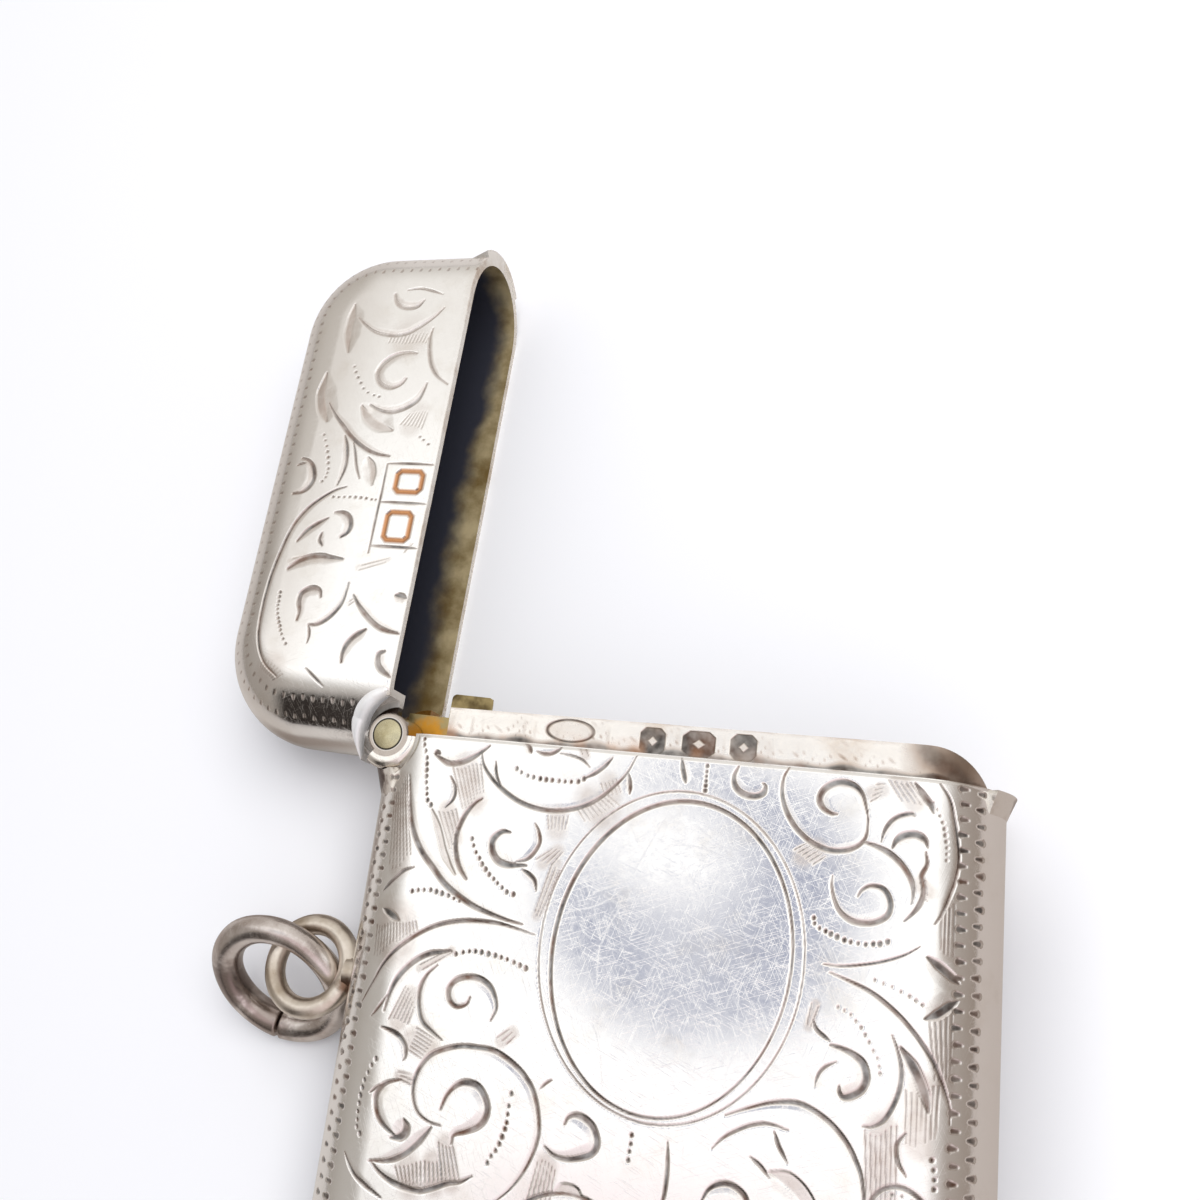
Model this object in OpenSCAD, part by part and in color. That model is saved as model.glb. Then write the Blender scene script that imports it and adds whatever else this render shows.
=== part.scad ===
// Vesta case: a flat silver match box with half-round edges, a spring lid hinged at one side,
// a collar in its mouth and a ring for a watch chain. It lies on its back with the lid open.
// X runs across the case, Y from the base to the mouth, Z from the back up to the front.

/* [Case] */
// Width of the case
case_w = 35; // [28:0.5:44]
// Thickness of the case; its edges are half round
case_t = 8.8; // [7.8:0.1:10.4]
// Height of the body from the base to the mouth
body_h = 33.6; // [28:0.2:44]
// Radius of the corners, seen from the front
corner_r = 6.5; // [5.4:0.1:9]
// Thickness of the silver sheet
wall = 0.5; // [0.4:0.05:0.7]
// Film of solder between pieces that are soldered together
solder = 0.03; // [0.02:0.01:0.05]

/* [Lid] */
// Height of the lid from its rim to its top
lid_h = 13.5; // [10:0.1:18]
// Angle through which the lid opens
lid_open = 88; // [70:1:90]
// Gap between the rims of lid and body when the lid is shut
seam_gap = 0.05; // [0.03:0.01:0.1]

/* [Thumb lips] */
// Reach of each lip beyond the side of the case
lip_reach = 0.55; // [0.2:0.05:0.8]
// Height of each lip along the side
lip_h = 1.4; // [0.8:0.1:2.5]
// Angle that each lip covers of the half-round side
lip_angle = 76; // [40:2:110]
// Distance of each lip back from the rim
lip_set = 0.06; // [0.04:0.01:0.1]

/* [Collar] */
// Height that the collar stands out of the mouth
collar_rise = 1.8; // [1:0.1:2.6]
// Depth that the collar reaches into the body
collar_depth = 3.2; // [2:0.1:5]
// Thickness of the collar
collar_t = 0.45; // [0.35:0.05:0.6]
// Clearance between the collar and the lid that shuts over it
collar_gap = 0.14; // [0.12:0.01:0.2]
// Distance from the hinge side to the collar's open ends
collar_setback = 4.8; // [4.4:0.1:7]
// Radius that rounds the collar's far end, so that the lid swings past it
collar_round = 3.0; // [2:0.1:3.6]

/* [Hinge] */
// Diameter of the hinge pin
pin_d = 1.85; // [1.5:0.05:1.95]
// Distance of the pin's axis in from the side of the case
pin_inset = 1.0; // [0.9:0.05:1.2]
// Distance of the pin's axis below the mouth
pin_drop = 0.1; // [0:0.05:0.3]
// Distance of the hinge's ends in from the front and the back
hinge_inset = 0.65; // [0.5:0.05:0.9]
// Diameter of the knuckles
knuckle_d = 2.6; // [2.5:0.05:2.8]
// Diameter of the lugs that carry the body's knuckles
lug_d = 4.1; // [3.9:0.1:4.3]
// Angle, round the pin, at which each lug begins
lug_start = 234; // [230:1:240]
// Radius that rounds the outer end of each lug
lug_round = 0.5; // [0.2:0.05:0.6]
// Radius that rounds the outer end of each of the body's knuckles
knuckle_round = 0.15; // [0.05:0.01:0.2]
// Length of the lid's knuckle along the pin
lid_knuckle_l = 2.6; // [2:0.1:3]
// Clearance round the pin in the lid's knuckle
running_gap = 0.04; // [0.02:0.01:0.08]
// Clearance of the pin in the body's knuckles, in which it is fixed
pin_seat_gap = 0.01; // [0.01:0.005:0.02]
// Gap between neighbouring knuckles along the pin
knuckle_gap = 0.06; // [0.04:0.01:0.12]
// Clearance between the lid's walls and the body's knuckles
notch_gap = 0.1; // [0.08:0.01:0.15]
// Rise of the pin's domed ends above the knuckles
pin_dome = 0.12; // [0.05:0.01:0.2]

/* [Scoop in the lid round the hinge] */
// Width of the scoop's floor round the knuckle
scoop_floor = 0.85; // [0.75:0.05:0.95]
// Thickness of the scoop's wall
scoop_wall = 0.45; // [0.3:0.05:0.6]
// Depth of the scoop's floor below the ends of the knuckles
scoop_drop = 1.1; // [0.8:0.05:1.3]
// Thickness of the scoop's floor
scoop_t = 0.6; // [0.4:0.05:0.9]

/* [Shoulder that stops the lid] */
// Reach of the shoulder beyond the side of the body
shoulder_reach = 0.8; // [0.4:0.05:1]
// Gap between the shoulder and the open lid
shoulder_gap = 0.2; // [0.15:0.05:0.4]
// Height of the shoulder along the side
shoulder_h = 2.4; // [1.5:0.1:3.5]
// Angle that the shoulder covers of the half-round side
shoulder_angle = 110; // [80:2:130]

/* [Cam and spring] */
// Length of the lid's cam from the pin's axis
cam_l = 5.35; // [4.6:0.05:6]
// Near side of the cam's arm, measured from the pin's axis
cam_near = 0.3; // [0.2:0.05:0.4]
// Thickness of the cam's arm
cam_t = 1.5; // [1:0.1:1.7]
// Length of the cam's head along the arm
cam_head_l = 2.7; // [1.8:0.1:3]
// Thickness of the cam's head
cam_head_t = 3.0; // [2:0.1:3.2]
// Radius that rounds the corners of the cam's head
cam_round = 0.3; // [0.1:0.05:0.5]
// Length of the bevel across the end of the cam's head
cam_bevel = 1.0; // [0.5:0.1:1.2]
// Height of the strap that fixes the lid's knuckle inside the lid
strap_h = 5; // [3.5:0.1:6.5]
// Thickness of the strap
strap_t = 1.2; // [0.8:0.1:1.4]
// Width of the leaf spring
spring_w = 2.2; // [1.6:0.1:2.4]
// Thickness of the leaf spring
spring_t = 0.3; // [0.2:0.05:0.35]
// Length of the leaf spring
spring_l = 17; // [12:0.5:20]
// Gap between the spring's tip and the lid's knuckle
spring_gap = 0.2; // [0.15:0.05:0.4]

/* [Striker on the base] */
// Length of the striker across the base
striker_l = 20; // [12:0.5:21]
// Angle that the striker covers of the half-round base
striker_angle = 70; // [50:2:90]
// Thickness of the striker's strip
striker_t = 0.3; // [0.2:0.05:0.5]
// Height of the striker's ribs above the strip
rib_rise = 0.25; // [0.15:0.05:0.4]
// Spacing of the striker's ribs
rib_pitch = 1.0; // [0.8:0.05:1.6]
// Thickness of the striker's ribs
rib_t = 0.5; // [0.3:0.05:0.6]

/* [Eye and ring] */
// Radius of the eye, to the middle of its wire
eye_r = 2.45; // [2.4:0.05:2.7]
// Diameter of the eye's wire
eye_wire = 1.24; // [0.9:0.02:1.26]
// Distance of the eye's centre below the mouth
eye_drop = 13.95; // [10:0.05:20]
// Diameter of the foot that solders the eye to the case
eye_foot_d = 1.8; // [1.4:0.1:2.4]
// Depth to which the eye's wire is let into the solder at the side of the case
eye_sink = 0.08; // [0.04:0.01:0.15]
// Height of the eye's centre above the middle of the case
eye_rise = 0.45; // [0.3:0.05:0.5]
// Angle at which the eye dips towards the mouth
eye_dip = 9; // [7:0.5:10]
// Radius of the ring, to the middle of its wire
ring_r = 3.95; // [3.9:0.05:4.1]
// Diameter of the ring's wire
ring_wire = 1.58; // [1.3:0.02:1.6]
// Slope at which the ring leans, from the surface up
ring_slope = 43; // [42.5:0.5:44]
// Gap between the two ends of the ring's wire
ring_cut = 0.3; // [0.15:0.05:0.5]
// Place of that gap round the ring
ring_cut_angle = 258; // [225:1:300]
// Distance of the ring's centre outward from the eye's centre
ring_out = 2.67; // [2.65:0.01:2.75]
// Distance of the ring's centre towards the base from the eye's centre
ring_down = 1.165; // [1.15:0.005:1.2]

/* [Hidden] */
$fn = 64;
// Overlap that makes cuts clean
cut = 1;
edge_r = case_t / 2;
mid_z = case_t / 2;
mouth_y = body_h / 2;
base_y = -body_h / 2;
pin_x = -case_w / 2 + pin_inset;
pin_y = mouth_y - pin_drop;
hinge_l = case_t - 2 * hinge_inset;
pin_l = hinge_l + 2 * pin_dome;
knuckle_l = (hinge_l - lid_knuckle_l) / 2 - knuckle_gap;
notch_r = knuckle_d / 2 + notch_gap;
scoop_r = notch_r + scoop_floor;
scoop_z = case_t - hinge_inset - scoop_drop;
seat_w = case_w - 2 * wall - 2 * solder;
seat_t = case_t - 2 * wall - 2 * solder;
side_axis_x = case_w / 2 - edge_r;
// The open lid's side lies as far below the pin as the side lies beyond it
shoulder_y = pin_y - pin_inset - shoulder_gap;
// The flat leaf stands off the round inside of the wall by this much
leaf_sag = (edge_r - wall) - sqrt(pow(edge_r - wall, 2) - pow(spring_w / 2, 2));
leaf_x = -case_w / 2 + wall + leaf_sag + solder;
spring_top = pin_y - knuckle_d / 2 - spring_gap;
rib_count = floor((striker_l - rib_t) / rib_pitch) + 1;
eye_x = -case_w / 2 + eye_sink - eye_wire / 2 - eye_r;
eye_y = mouth_y - eye_drop;
eye_z = mid_z + eye_rise;
ring_b = ring_wire / 2;
ring_z = ring_r * sin(ring_slope) + ring_b;
ring_cut_deg = 2 * asin(ring_cut / 2 / ring_r);
silver = [0.80, 0.79, 0.77];
worn_silver = [0.58, 0.55, 0.52];
gilt = [0.72, 0.58, 0.33];
brass = [0.74, 0.68, 0.48];
steel = [0.42, 0.42, 0.43];

// Section of the case: a strip with half-round ends
module stadium(w, t) {
    square([w - t, t], center = true);
    for (s = [-1, 1])
        translate([s * (w - t) / 2, 0])
            circle(d = t);
}

// Half-round edge and the flat behind it, out from the centre of a corner
module rounded_rim(r, t) {
    translate([0, -t / 2])
        square([r - t / 2, t]);
    intersection() {
        translate([r - t / 2, 0])
            circle(d = t);
        translate([r - t / 2, -t / 2])
            square([t / 2, t]);
    }
}

// Solid slab with half-round edges, closed at Y = 0 and cut square at Y = h
module slab(w, t, r, h) {
    translate([0, r, 0])
        rotate([-90, 0, 0])
            linear_extrude(h - r)
                stadium(w, t);
    translate([-(w / 2 - r), r, 0])
        rotate([-90, 0, 0])
            rotate([0, 90, 0])
                linear_extrude(w - 2 * r)
                    rounded_rim(r, t);
    for (s = [0, 1])
        translate([(s == 0 ? 1 : -1) * (w / 2 - r), r, 0])
            rotate([0, 0, s == 0 ? -90 : 180])
                rotate_extrude(angle = 90)
                    rounded_rim(r, t);
}

// Hollow slab of the sheet's thickness, open at Y = h
module hollow_slab(h) {
    difference() {
        slab(case_w, case_t, corner_r, h);
        translate([0, wall, 0])
            slab(case_w - 2 * wall, case_t - 2 * wall, corner_r - wall, h);
    }
}

// Flared piece on a half-round side: its section turns about the side's axis
module side_flare(side, angle, low, high, reach) {
    translate([side * side_axis_x, 0, mid_z])
        rotate([0, side > 0 ? 0 : 180, 0])
            rotate([-90, 0, 0])
                rotate([0, 0, -angle / 2])
                    rotate_extrude(angle = angle)
                        polygon([[edge_r - wall / 2, low], [edge_r, low], [edge_r + reach, high],
                                 [edge_r - wall / 2, high]]);
}

// Half of the space, short of the soldered seam: the front for side 1, the back for side -1
module half_space(side) {
    reach = case_w + body_h + lid_h;
    seam = side * solder / 2;
    translate([-reach, -reach, side > 0 ? mid_z + seam : mid_z + seam - reach])
        cube([2 * reach, 2 * reach, reach]);
}

// Round bar along the pin's axis
module pin_bar(r, low, high) {
    translate([pin_x, pin_y, low])
        cylinder(r = r, h = high - low);
}

// Turns the shut lid to where it stands open
module opened() {
    translate([pin_x, pin_y, 0])
        rotate([0, 0, lid_open])
            translate([-pin_x, -pin_y, 0])
                children();
}

module body_half(side) {
    difference() {
        intersection() {
            union() {
                translate([0, base_y, mid_z])
                    hollow_slab(body_h);
                side_flare(1, lip_angle, mouth_y - lip_h, mouth_y - lip_set, lip_reach);
                side_flare(-1, shoulder_angle, shoulder_y - shoulder_h, shoulder_y, shoulder_reach);
            }
            half_space(side);
        }
        pin_bar(lug_d / 2 + solder, -cut, case_t + cut);
    }
}

module lid_half(side) {
    rim_y = mouth_y + seam_gap;
    difference() {
        intersection() {
            union() {
                translate([0, mouth_y + lid_h, mid_z])
                    mirror([0, 1, 0])
                        hollow_slab(lid_h - seam_gap);
                translate([0, 2 * mouth_y + seam_gap, 0])
                    mirror([0, 1, 0])
                        side_flare(1, lip_angle, mouth_y - lip_h, mouth_y - lip_set, lip_reach);
                scoop_boss(side, rim_y);
            }
            half_space(side);
        }
        pin_bar(notch_r, -cut, case_t + cut);
        scoop_cut(side);
    }
}

// Stock for the scoop: the lid's own outline round the hinge, down to the scoop's floor
module scoop_boss(side, rim_y) {
    low = side > 0 ? scoop_z - scoop_t : -cut;
    high = side > 0 ? case_t + cut : case_t - scoop_z + scoop_t;
    intersection() {
        translate([0, mouth_y + lid_h, mid_z])
            mirror([0, 1, 0])
                slab(case_w, case_t, corner_r, lid_h - seam_gap);
        pin_bar(scoop_r + scoop_wall, low, high);
        translate([-case_w, rim_y, -cut])
            cube([2 * case_w, lid_h, case_t + 2 * cut]);
    }
}

// Space above the scoop's floor
module scoop_cut(side) {
    if (side > 0)
        pin_bar(scoop_r, scoop_z, case_t + cut);
    else
        pin_bar(scoop_r, -cut, case_t - scoop_z);
}

// Round bar along the pin's axis with its upper end rounded
module rounded_bar(r, low, high, round) {
    translate([pin_x, pin_y, low])
        rotate_extrude() {
            square([r - round, high - low]);
            square([r, high - low - round]);
            intersection() {
                translate([r - round, high - low - round])
                    circle(r = round);
                square([r, high - low]);
            }
        }
}

// Body's front knuckle and the lug that solders it into the notch in the shells
module body_knuckle() {
    high = case_t - hinge_inset;
    low = high - knuckle_l;
    far = lug_d;
    difference() {
        union() {
            rounded_bar(knuckle_d / 2, low, high, knuckle_round);
            intersection() {
                rounded_bar(lug_d / 2, low, high, lug_round);
                translate([pin_x, pin_y, low])
                    linear_extrude(high - low)
                        polygon([[0, 0], far * [cos(lug_start), sin(lug_start)], [0, -2 * far],
                                 [2 * far, -2 * far], [2 * far, 0]]);
            }
        }
        pin_bar(pin_d / 2 + pin_seat_gap, low - cut, high + cut);
    }
}

module body_front_shell() {
    color(silver)
        body_half(1);
}

module body_back_shell() {
    color(silver)
        body_half(-1);
}

// Band with an open hinge side: the lower part fits the body, the upper part clears the lid
module collar() {
    color(silver)
        difference() {
            union() {
                translate([0, mouth_y - collar_depth, mid_z])
                    rotate([-90, 0, 0])
                        linear_extrude(collar_depth)
                            stadium(seat_w, seat_t);
                translate([0, mouth_y - collar_depth, mid_z])
                    rotate([-90, 0, 0])
                        linear_extrude(collar_depth + collar_rise)
                            stadium(seat_w - 2 * collar_gap, seat_t - 2 * collar_gap);
            }
            translate([0, mouth_y - collar_depth - cut, mid_z])
                rotate([-90, 0, 0])
                    linear_extrude(collar_depth + collar_rise + 2 * cut)
                        stadium(seat_w - 2 * collar_t, seat_t - 2 * collar_t);
            translate([-case_w, mouth_y - body_h, -cut])
                cube([case_w / 2 + collar_setback, 2 * body_h, case_t + 2 * cut]);
            translate([seat_w / 2 - collar_gap - collar_round, mouth_y + collar_rise - collar_round, -cut])
                linear_extrude(case_t + 2 * cut)
                    collar_corner();
        }
}

// What the rounding takes off the collar's far corner, above the mouth
module collar_corner() {
    difference() {
        translate([0, collar_round - collar_rise])
            square([collar_round + cut, collar_rise + cut]);
        circle(r = collar_round);
    }
}

// Sector of a ring round the base's axis, as thick as wanted along X
module striker_band(r, length) {
    rotate([0, 0, 180])
        rotate([90, 0, 90])
            linear_extrude(length, center = true)
                intersection() {
                    difference() {
                        circle(r = r);
                        circle(r = edge_r + solder);
                    }
                    polygon([[0, 0], 2 * r * [cos(striker_angle / 2), -sin(striker_angle / 2)],
                             2 * r * [cos(striker_angle / 2), sin(striker_angle / 2)]]);
                }
}

// Ribbed strip soldered across the base, on which the matches are struck
module striker() {
    color(worn_silver)
        translate([0, base_y + edge_r, mid_z]) {
            striker_band(edge_r + striker_t, striker_l);
            for (i = [0:rib_count - 1])
                translate([(i - (rib_count - 1) / 2) * rib_pitch, 0, 0])
                    striker_band(edge_r + striker_t + rib_rise, rib_t);
        }
}

module front_hinge_knuckle() {
    color(silver)
        body_knuckle();
}

module back_hinge_knuckle() {
    color(silver)
        translate([0, 0, case_t])
            mirror([0, 0, 1])
                body_knuckle();
}

module hinge_pin() {
    color(brass)
        intersection() {
            pin_bar(pin_d / 2, mid_z - pin_l / 2, mid_z + pin_l / 2);
            translate([pin_x, pin_y, mid_z])
                sphere(d = pin_l);
        }
}

// Leaf soldered inside the hinge side, with its free tip below the lid's knuckle
module lid_spring() {
    color(steel)
        translate([leaf_x, spring_top - spring_l, mid_z - spring_w / 2])
            cube([spring_t, spring_l, spring_w]);
}

// Round eye with a foot shaped to the side of the case
module ring_eye() {
    color(worn_silver)
        difference() {
            translate([eye_x, eye_y, eye_z])
                rotate([-eye_dip, 0, 0]) {
                    rotate_extrude()
                        translate([eye_r, 0])
                            circle(d = eye_wire);
                    rotate([0, 90, 0])
                        translate([0, 0, eye_r])
                            cylinder(d = eye_foot_d, h = eye_wire + edge_r / 2);
                }
            translate([-side_axis_x, eye_y, mid_z])
                rotate([90, 0, 0])
                    cylinder(r = edge_r + solder, h = 4 * eye_r, center = true);
        }
}

module lid_front_shell() {
    color(silver)
        opened()
            lid_half(1);
}

module lid_back_shell() {
    color(silver)
        opened()
            lid_half(-1);
}

// Knuckle of the lid, with the strap that solders it inside the lid and the cam for the spring
module lid_knuckle() {
    low = mid_z - lid_knuckle_l / 2;
    color(gilt)
        opened()
            difference() {
                union() {
                    pin_bar(knuckle_d / 2, low, low + lid_knuckle_l);
                    strap(low);
                    translate([pin_x, pin_y, low])
                        linear_extrude(lid_knuckle_l)
                            cam_outline();
                }
                pin_bar(pin_d / 2 + running_gap, low - cut, low + lid_knuckle_l + cut);
                translate([pin_x, pin_y - cam_l, low])
                    cam_bevel_cut();
            }
}

// Strap fitted to the round inside of the lid's hinge side
module strap(low) {
    intersection() {
        translate([0, mouth_y + lid_h - wall - solder, mid_z])
            mirror([0, 1, 0])
                slab(seat_w, seat_t, corner_r - wall - solder, lid_h);
        translate([-case_w / 2, pin_y, low])
            cube([wall + leaf_sag + strap_t, pin_drop + seam_gap + strap_h, lid_knuckle_l]);
    }
}

// Arm and head of the cam, pointing down into the body while the lid is shut
module cam_outline() {
    translate([cam_near, -cam_l + cam_head_l / 2])
        square([cam_t, cam_l - cam_head_l / 2]);
    translate([cam_near, -cam_l]) {
        translate([cam_round, 0])
            square([cam_head_t - 2 * cam_round, cam_head_l]);
        translate([0, cam_round])
            square([cam_head_t, cam_head_l - 2 * cam_round]);
        for (x = [cam_round, cam_head_t - cam_round], y = [cam_round, cam_head_l - cam_round])
            translate([x, y])
                circle(r = cam_round);
    }
}

// Wedge that bevels the end of the cam's head towards the back
module cam_bevel_cut() {
    slope = cam_bevel / lid_knuckle_l;
    rotate([90, 0, 90])
        linear_extrude(cam_near + cam_head_t + cut)
            polygon([[-cut, lid_knuckle_l + cut], [-cut, -cut], [cam_bevel + cut * slope, -cut],
                     [-cut * slope, lid_knuckle_l + cut]]);
}

// Cut ring of round wire, leaning from the surface through the eye
module suspension_ring() {
    color(worn_silver)
        translate([eye_x - ring_out, eye_y - ring_down, ring_z])
            rotate([ring_slope, 0, 0])
                rotate([0, 0, ring_cut_angle + ring_cut_deg / 2])
                    rotate_extrude(angle = 360 - ring_cut_deg)
                        translate([ring_r, 0])
                            circle(r = ring_b);
}

body_front_shell();
body_back_shell();
collar();
striker();
front_hinge_knuckle();
back_hinge_knuckle();
hinge_pin();
lid_spring();
ring_eye();
lid_front_shell();
lid_back_shell();
lid_knuckle();
suspension_ring();
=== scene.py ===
"""Looks of the silver vesta case: engraved skins over the shells, gilt linings, ring, eye and hinge.

Lengths are in millimetres until a mesh is made. The front and back are drawn on an unrolled sheet:
p runs across the case and q along it, and both follow the metal round the half-round edges.
"""
import math
import bpy
import numpy as np
from mathutils import Matrix, Vector


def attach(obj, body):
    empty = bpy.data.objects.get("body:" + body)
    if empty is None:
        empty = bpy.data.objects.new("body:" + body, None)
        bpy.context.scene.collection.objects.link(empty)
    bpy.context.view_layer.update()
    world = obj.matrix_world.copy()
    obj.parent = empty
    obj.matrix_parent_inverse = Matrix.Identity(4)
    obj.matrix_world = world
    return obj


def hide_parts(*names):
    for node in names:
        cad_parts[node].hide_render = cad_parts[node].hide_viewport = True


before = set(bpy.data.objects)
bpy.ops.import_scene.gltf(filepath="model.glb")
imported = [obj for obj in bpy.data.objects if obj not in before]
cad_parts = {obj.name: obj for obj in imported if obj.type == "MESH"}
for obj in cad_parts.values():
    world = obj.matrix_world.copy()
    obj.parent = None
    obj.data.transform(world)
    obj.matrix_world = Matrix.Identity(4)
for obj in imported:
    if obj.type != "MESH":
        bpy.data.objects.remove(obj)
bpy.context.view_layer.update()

MM = 0.001
CASE_W, CASE_T, MOUTH, BASE, LID_H, WALL = 35.0, 8.8, 16.8, -16.8, 13.5, 0.5
# Radius of the half-round edges, and of the corners seen from the front
EDGE, CORNER = CASE_T / 2, 6.5
# Way round a quarter of an edge, and the sheet's reach to either side
QUARTER = EDGE * math.pi / 2
SIDE_P = CASE_W / 2 - EDGE + QUARTER
# Axis of the hinge, and the angle at which the lid stands open
PIN, OPEN = np.array([-16.5, 16.7]), math.radians(88)
# Height of the engraved skins above the shells, and the metal that a groove leaves of it
LIFT, LEFT = 0.06, 0.004
# Reach of the engraving on the sheet: to either side, down the body, and up the lid
DRAWN_P, DRAWN_Q, DRAWN_H = 17.6, -15.2, 12.6
# Radius round the pin that the skins of the body and of the lid leave free for the hinge
BODY_NOTCH, LID_NOTCH = 2.12, 2.3
# Gap under the shut lid, film of solder between joined pieces, and gap between the collar and the lid
SEAM, SOLDER, COLLAR_GAP = 0.05, 0.03, 0.14
# Settings of two kinds of shader node
SMOOTH, BLEND = {"interpolation_type": "SMOOTHSTEP"}, {"data_type": "RGBA"}


def linear(code):
    """Linear colour of an sRGB hex code."""
    rgb = [int(code[i:i + 2], 16) / 255 for i in (1, 3, 5)]
    return tuple(c / 12.92 if c <= 0.04045 else ((c + 0.055) / 1.055) ** 2.4 for c in rgb) + (1.0,)


def add(tree, kind, inputs=(), out=0, **settings):
    """Adds a shader node with its settings and gives back one of its outputs. Inputs go by place in a list,
    or by place or name in a dict: a socket is linked, and a constant is set."""
    n = tree.nodes.new("ShaderNode" + kind)
    for key, value in settings.items():
        setattr(n, key, value)
    for key, value in (inputs if isinstance(inputs, dict) else dict(enumerate(inputs))).items():
        if isinstance(value, bpy.types.NodeSocket):
            tree.links.new(value, n.inputs[key])
        else:
            n.inputs[key].default_value = value
    return n.outputs[out] if len(n.outputs) else None


def metal(name, colour, tarnish, rough, clouds, scratch=0.4, engraved=False, spots=(), bands=(), painted_shade_depth=None,
          metallic=1.0):
    """Worn metal: clouds of tarnish over the base colour, then stains and painted shade, engraved lines and
    rubbed scratches. Spots are stains and patches of painted shade: x, y, z, reach and colour. Bands run
    round the pin,
    some of them painted shade: inner and outer radius, and colour. The painted shade depth is the colour of
    painted shade far inside the case, with the depths at which it starts and is full."""
    mat = bpy.data.materials.new(name)
    mat.use_nodes = True
    t = mat.node_tree
    t.nodes.clear()
    mm = add(t, "Mapping", {"Vector": add(t, "TexCoord", out="Object"), "Scale": (1 / MM, 1 / MM, 1 / MM)})

    # Clouds of about 3 mm, and a surface that is duller and brighter by turns every third of a millimetre
    cloud = add(t, "TexNoise", {"Vector": mm, "Scale": 0.35, "Detail": 5.0, "Roughness": 0.6})
    layers = [(add(t, "MapRange", [cloud, *clouds], **SMOOTH), linear(tarnish))]
    grain = add(t, "TexNoise", {"Vector": mm, "Scale": 3.0, "Detail": 3.0})
    roughness = add(t, "Math", [grain, 0.12, rough - 0.06], operation="MULTIPLY_ADD")

    for x, y, z, reach, code in spots:
        d = add(t, "VectorMath", [mm, (x, y, z)], "Value", operation="DISTANCE")
        ragged = add(t, "TexNoise", {"Vector": mm, "Scale": 2.2, "Detail": 4.0})
        ragged = add(t, "Math", [ragged, reach, reach * 0.25], operation="MULTIPLY_ADD")
        d = add(t, "Math", [d, ragged], operation="DIVIDE")
        layers.append((add(t, "MapRange", [d, 1.25, 0.55], **SMOOTH), linear(code)))

    if bands:
        flat = add(t, "VectorMath", [mm, (1, 1, 0)], operation="MULTIPLY")
        d = add(t, "VectorMath", [flat, (PIN[0], PIN[1], 0)], "Value", operation="DISTANCE")
    for low, high, code in bands:
        outside = add(t, "MapRange", [d, low - 0.03, low + 0.05], **SMOOTH)
        inside = add(t, "MapRange", [d, high + 0.05, high - 0.03], **SMOOTH)
        layers.append((add(t, "Math", [outside, inside], operation="MULTIPLY"), linear(code)))

    # Painted shade: darker further inside the case
    if painted_shade_depth:
        start, full, code = painted_shade_depth
        depth = add(t, "Math", [add(t, "Attribute", out="Fac", attribute_name="painted_shade_depth"), -0.9], operation="ADD")
        ragged = add(t, "TexNoise", {"Vector": mm, "Scale": 0.45, "Detail": 4.0})
        depth = add(t, "Math", [ragged, 1.8, depth], operation="MULTIPLY_ADD")
        layers.append((add(t, "MapRange", [depth, start, full], **SMOOTH), linear(code)))

    if engraved:
        ink, stain, rub, rust = [add(t, "Attribute", out="Fac", attribute_name=key)
                                 for key in ("ink", "stain", "rub", "rust")]
        blot = add(t, "TexNoise", {"Vector": mm, "Scale": 1.3, "Detail": 3.0})
        blot = add(t, "MapRange", [blot, 0.25, 0.75, 0.6, 1.0], **SMOOTH)
        hue = add(t, "TexNoise", {"Vector": mm, "Scale": 0.45, "Detail": 2.0})
        hue = add(t, "MapRange", [hue, 0.35, 0.65], **SMOOTH)
        # Colour of the ink: brown tarnish in the engraving, and painted shade beside strokes and in hollows
        darkening = add(t, "Mix", {0: hue, 6: linear("#221c1a"), 7: linear("#6e4c38")}, 2, **BLEND)
        thick = add(t, "MapRange", [ink, 0.40, 0.75], **SMOOTH)
        darkening = add(t, "Mix", {0: thick, 6: linear("#96745a"), 7: darkening}, 2, **BLEND)
        layers += [(stain, linear("#8f7a66")), (add(t, "Math", [ink, blot], operation="MULTIPLY"), darkening),
                   (rust, linear("#c08657"))]
        roughness = add(t, "Math", [ink, 0.25, roughness], operation="MULTIPLY_ADD")
        roughness = add(t, "Math", [rub, 0.45, roughness], operation="MULTIPLY_ADD")

    tint = linear(colour)
    for factor, paint in layers:
        tint = add(t, "Mix", {0: factor, 6: tint, 7: paint}, 2, **BLEND)

    # Rubbed scratches in four directions, about 0.04 mm wide and 1.7 mm long
    height = 0.0
    for turn, fine in ((0.35, 21.0), (1.1, 27.0), (1.9, 23.0), (2.75, 29.0)):
        turned = add(t, "Mapping", {"Vector": mm, "Rotation": (0, 0, turn)})
        drawn = add(t, "Mapping", {"Vector": turned, "Scale": (0.6, fine, 1.0)})
        rubbed = add(t, "TexNoise", {"Vector": drawn, "Scale": 1.0, "Detail": 1.0})
        rubbed = add(t, "MapRange", [rubbed, 0.64, 0.74], **SMOOTH)
        height = add(t, "Math", [height, rubbed], operation="ADD")
    bump = add(t, "Bump", {"Strength": scratch, "Distance": 0.003 * MM, "Height": height})
    finish = add(t, "BsdfPrincipled", {"Base Color": tint, "Metallic": metallic, "Roughness": roughness,
                                       "Normal": bump})
    add(t, "OutputMaterial", [finish])
    return mat


# Sterling silver, rubbed bright, with brown tarnish left in the engraving and painted shade beside its
# strokes
SILVER = metal("worn_engraved_silver", "#f3f1ee", "#e6e1da", rough=0.12, clouds=(0.50, 0.85), scratch=0.35,
               engraved=True)
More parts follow.
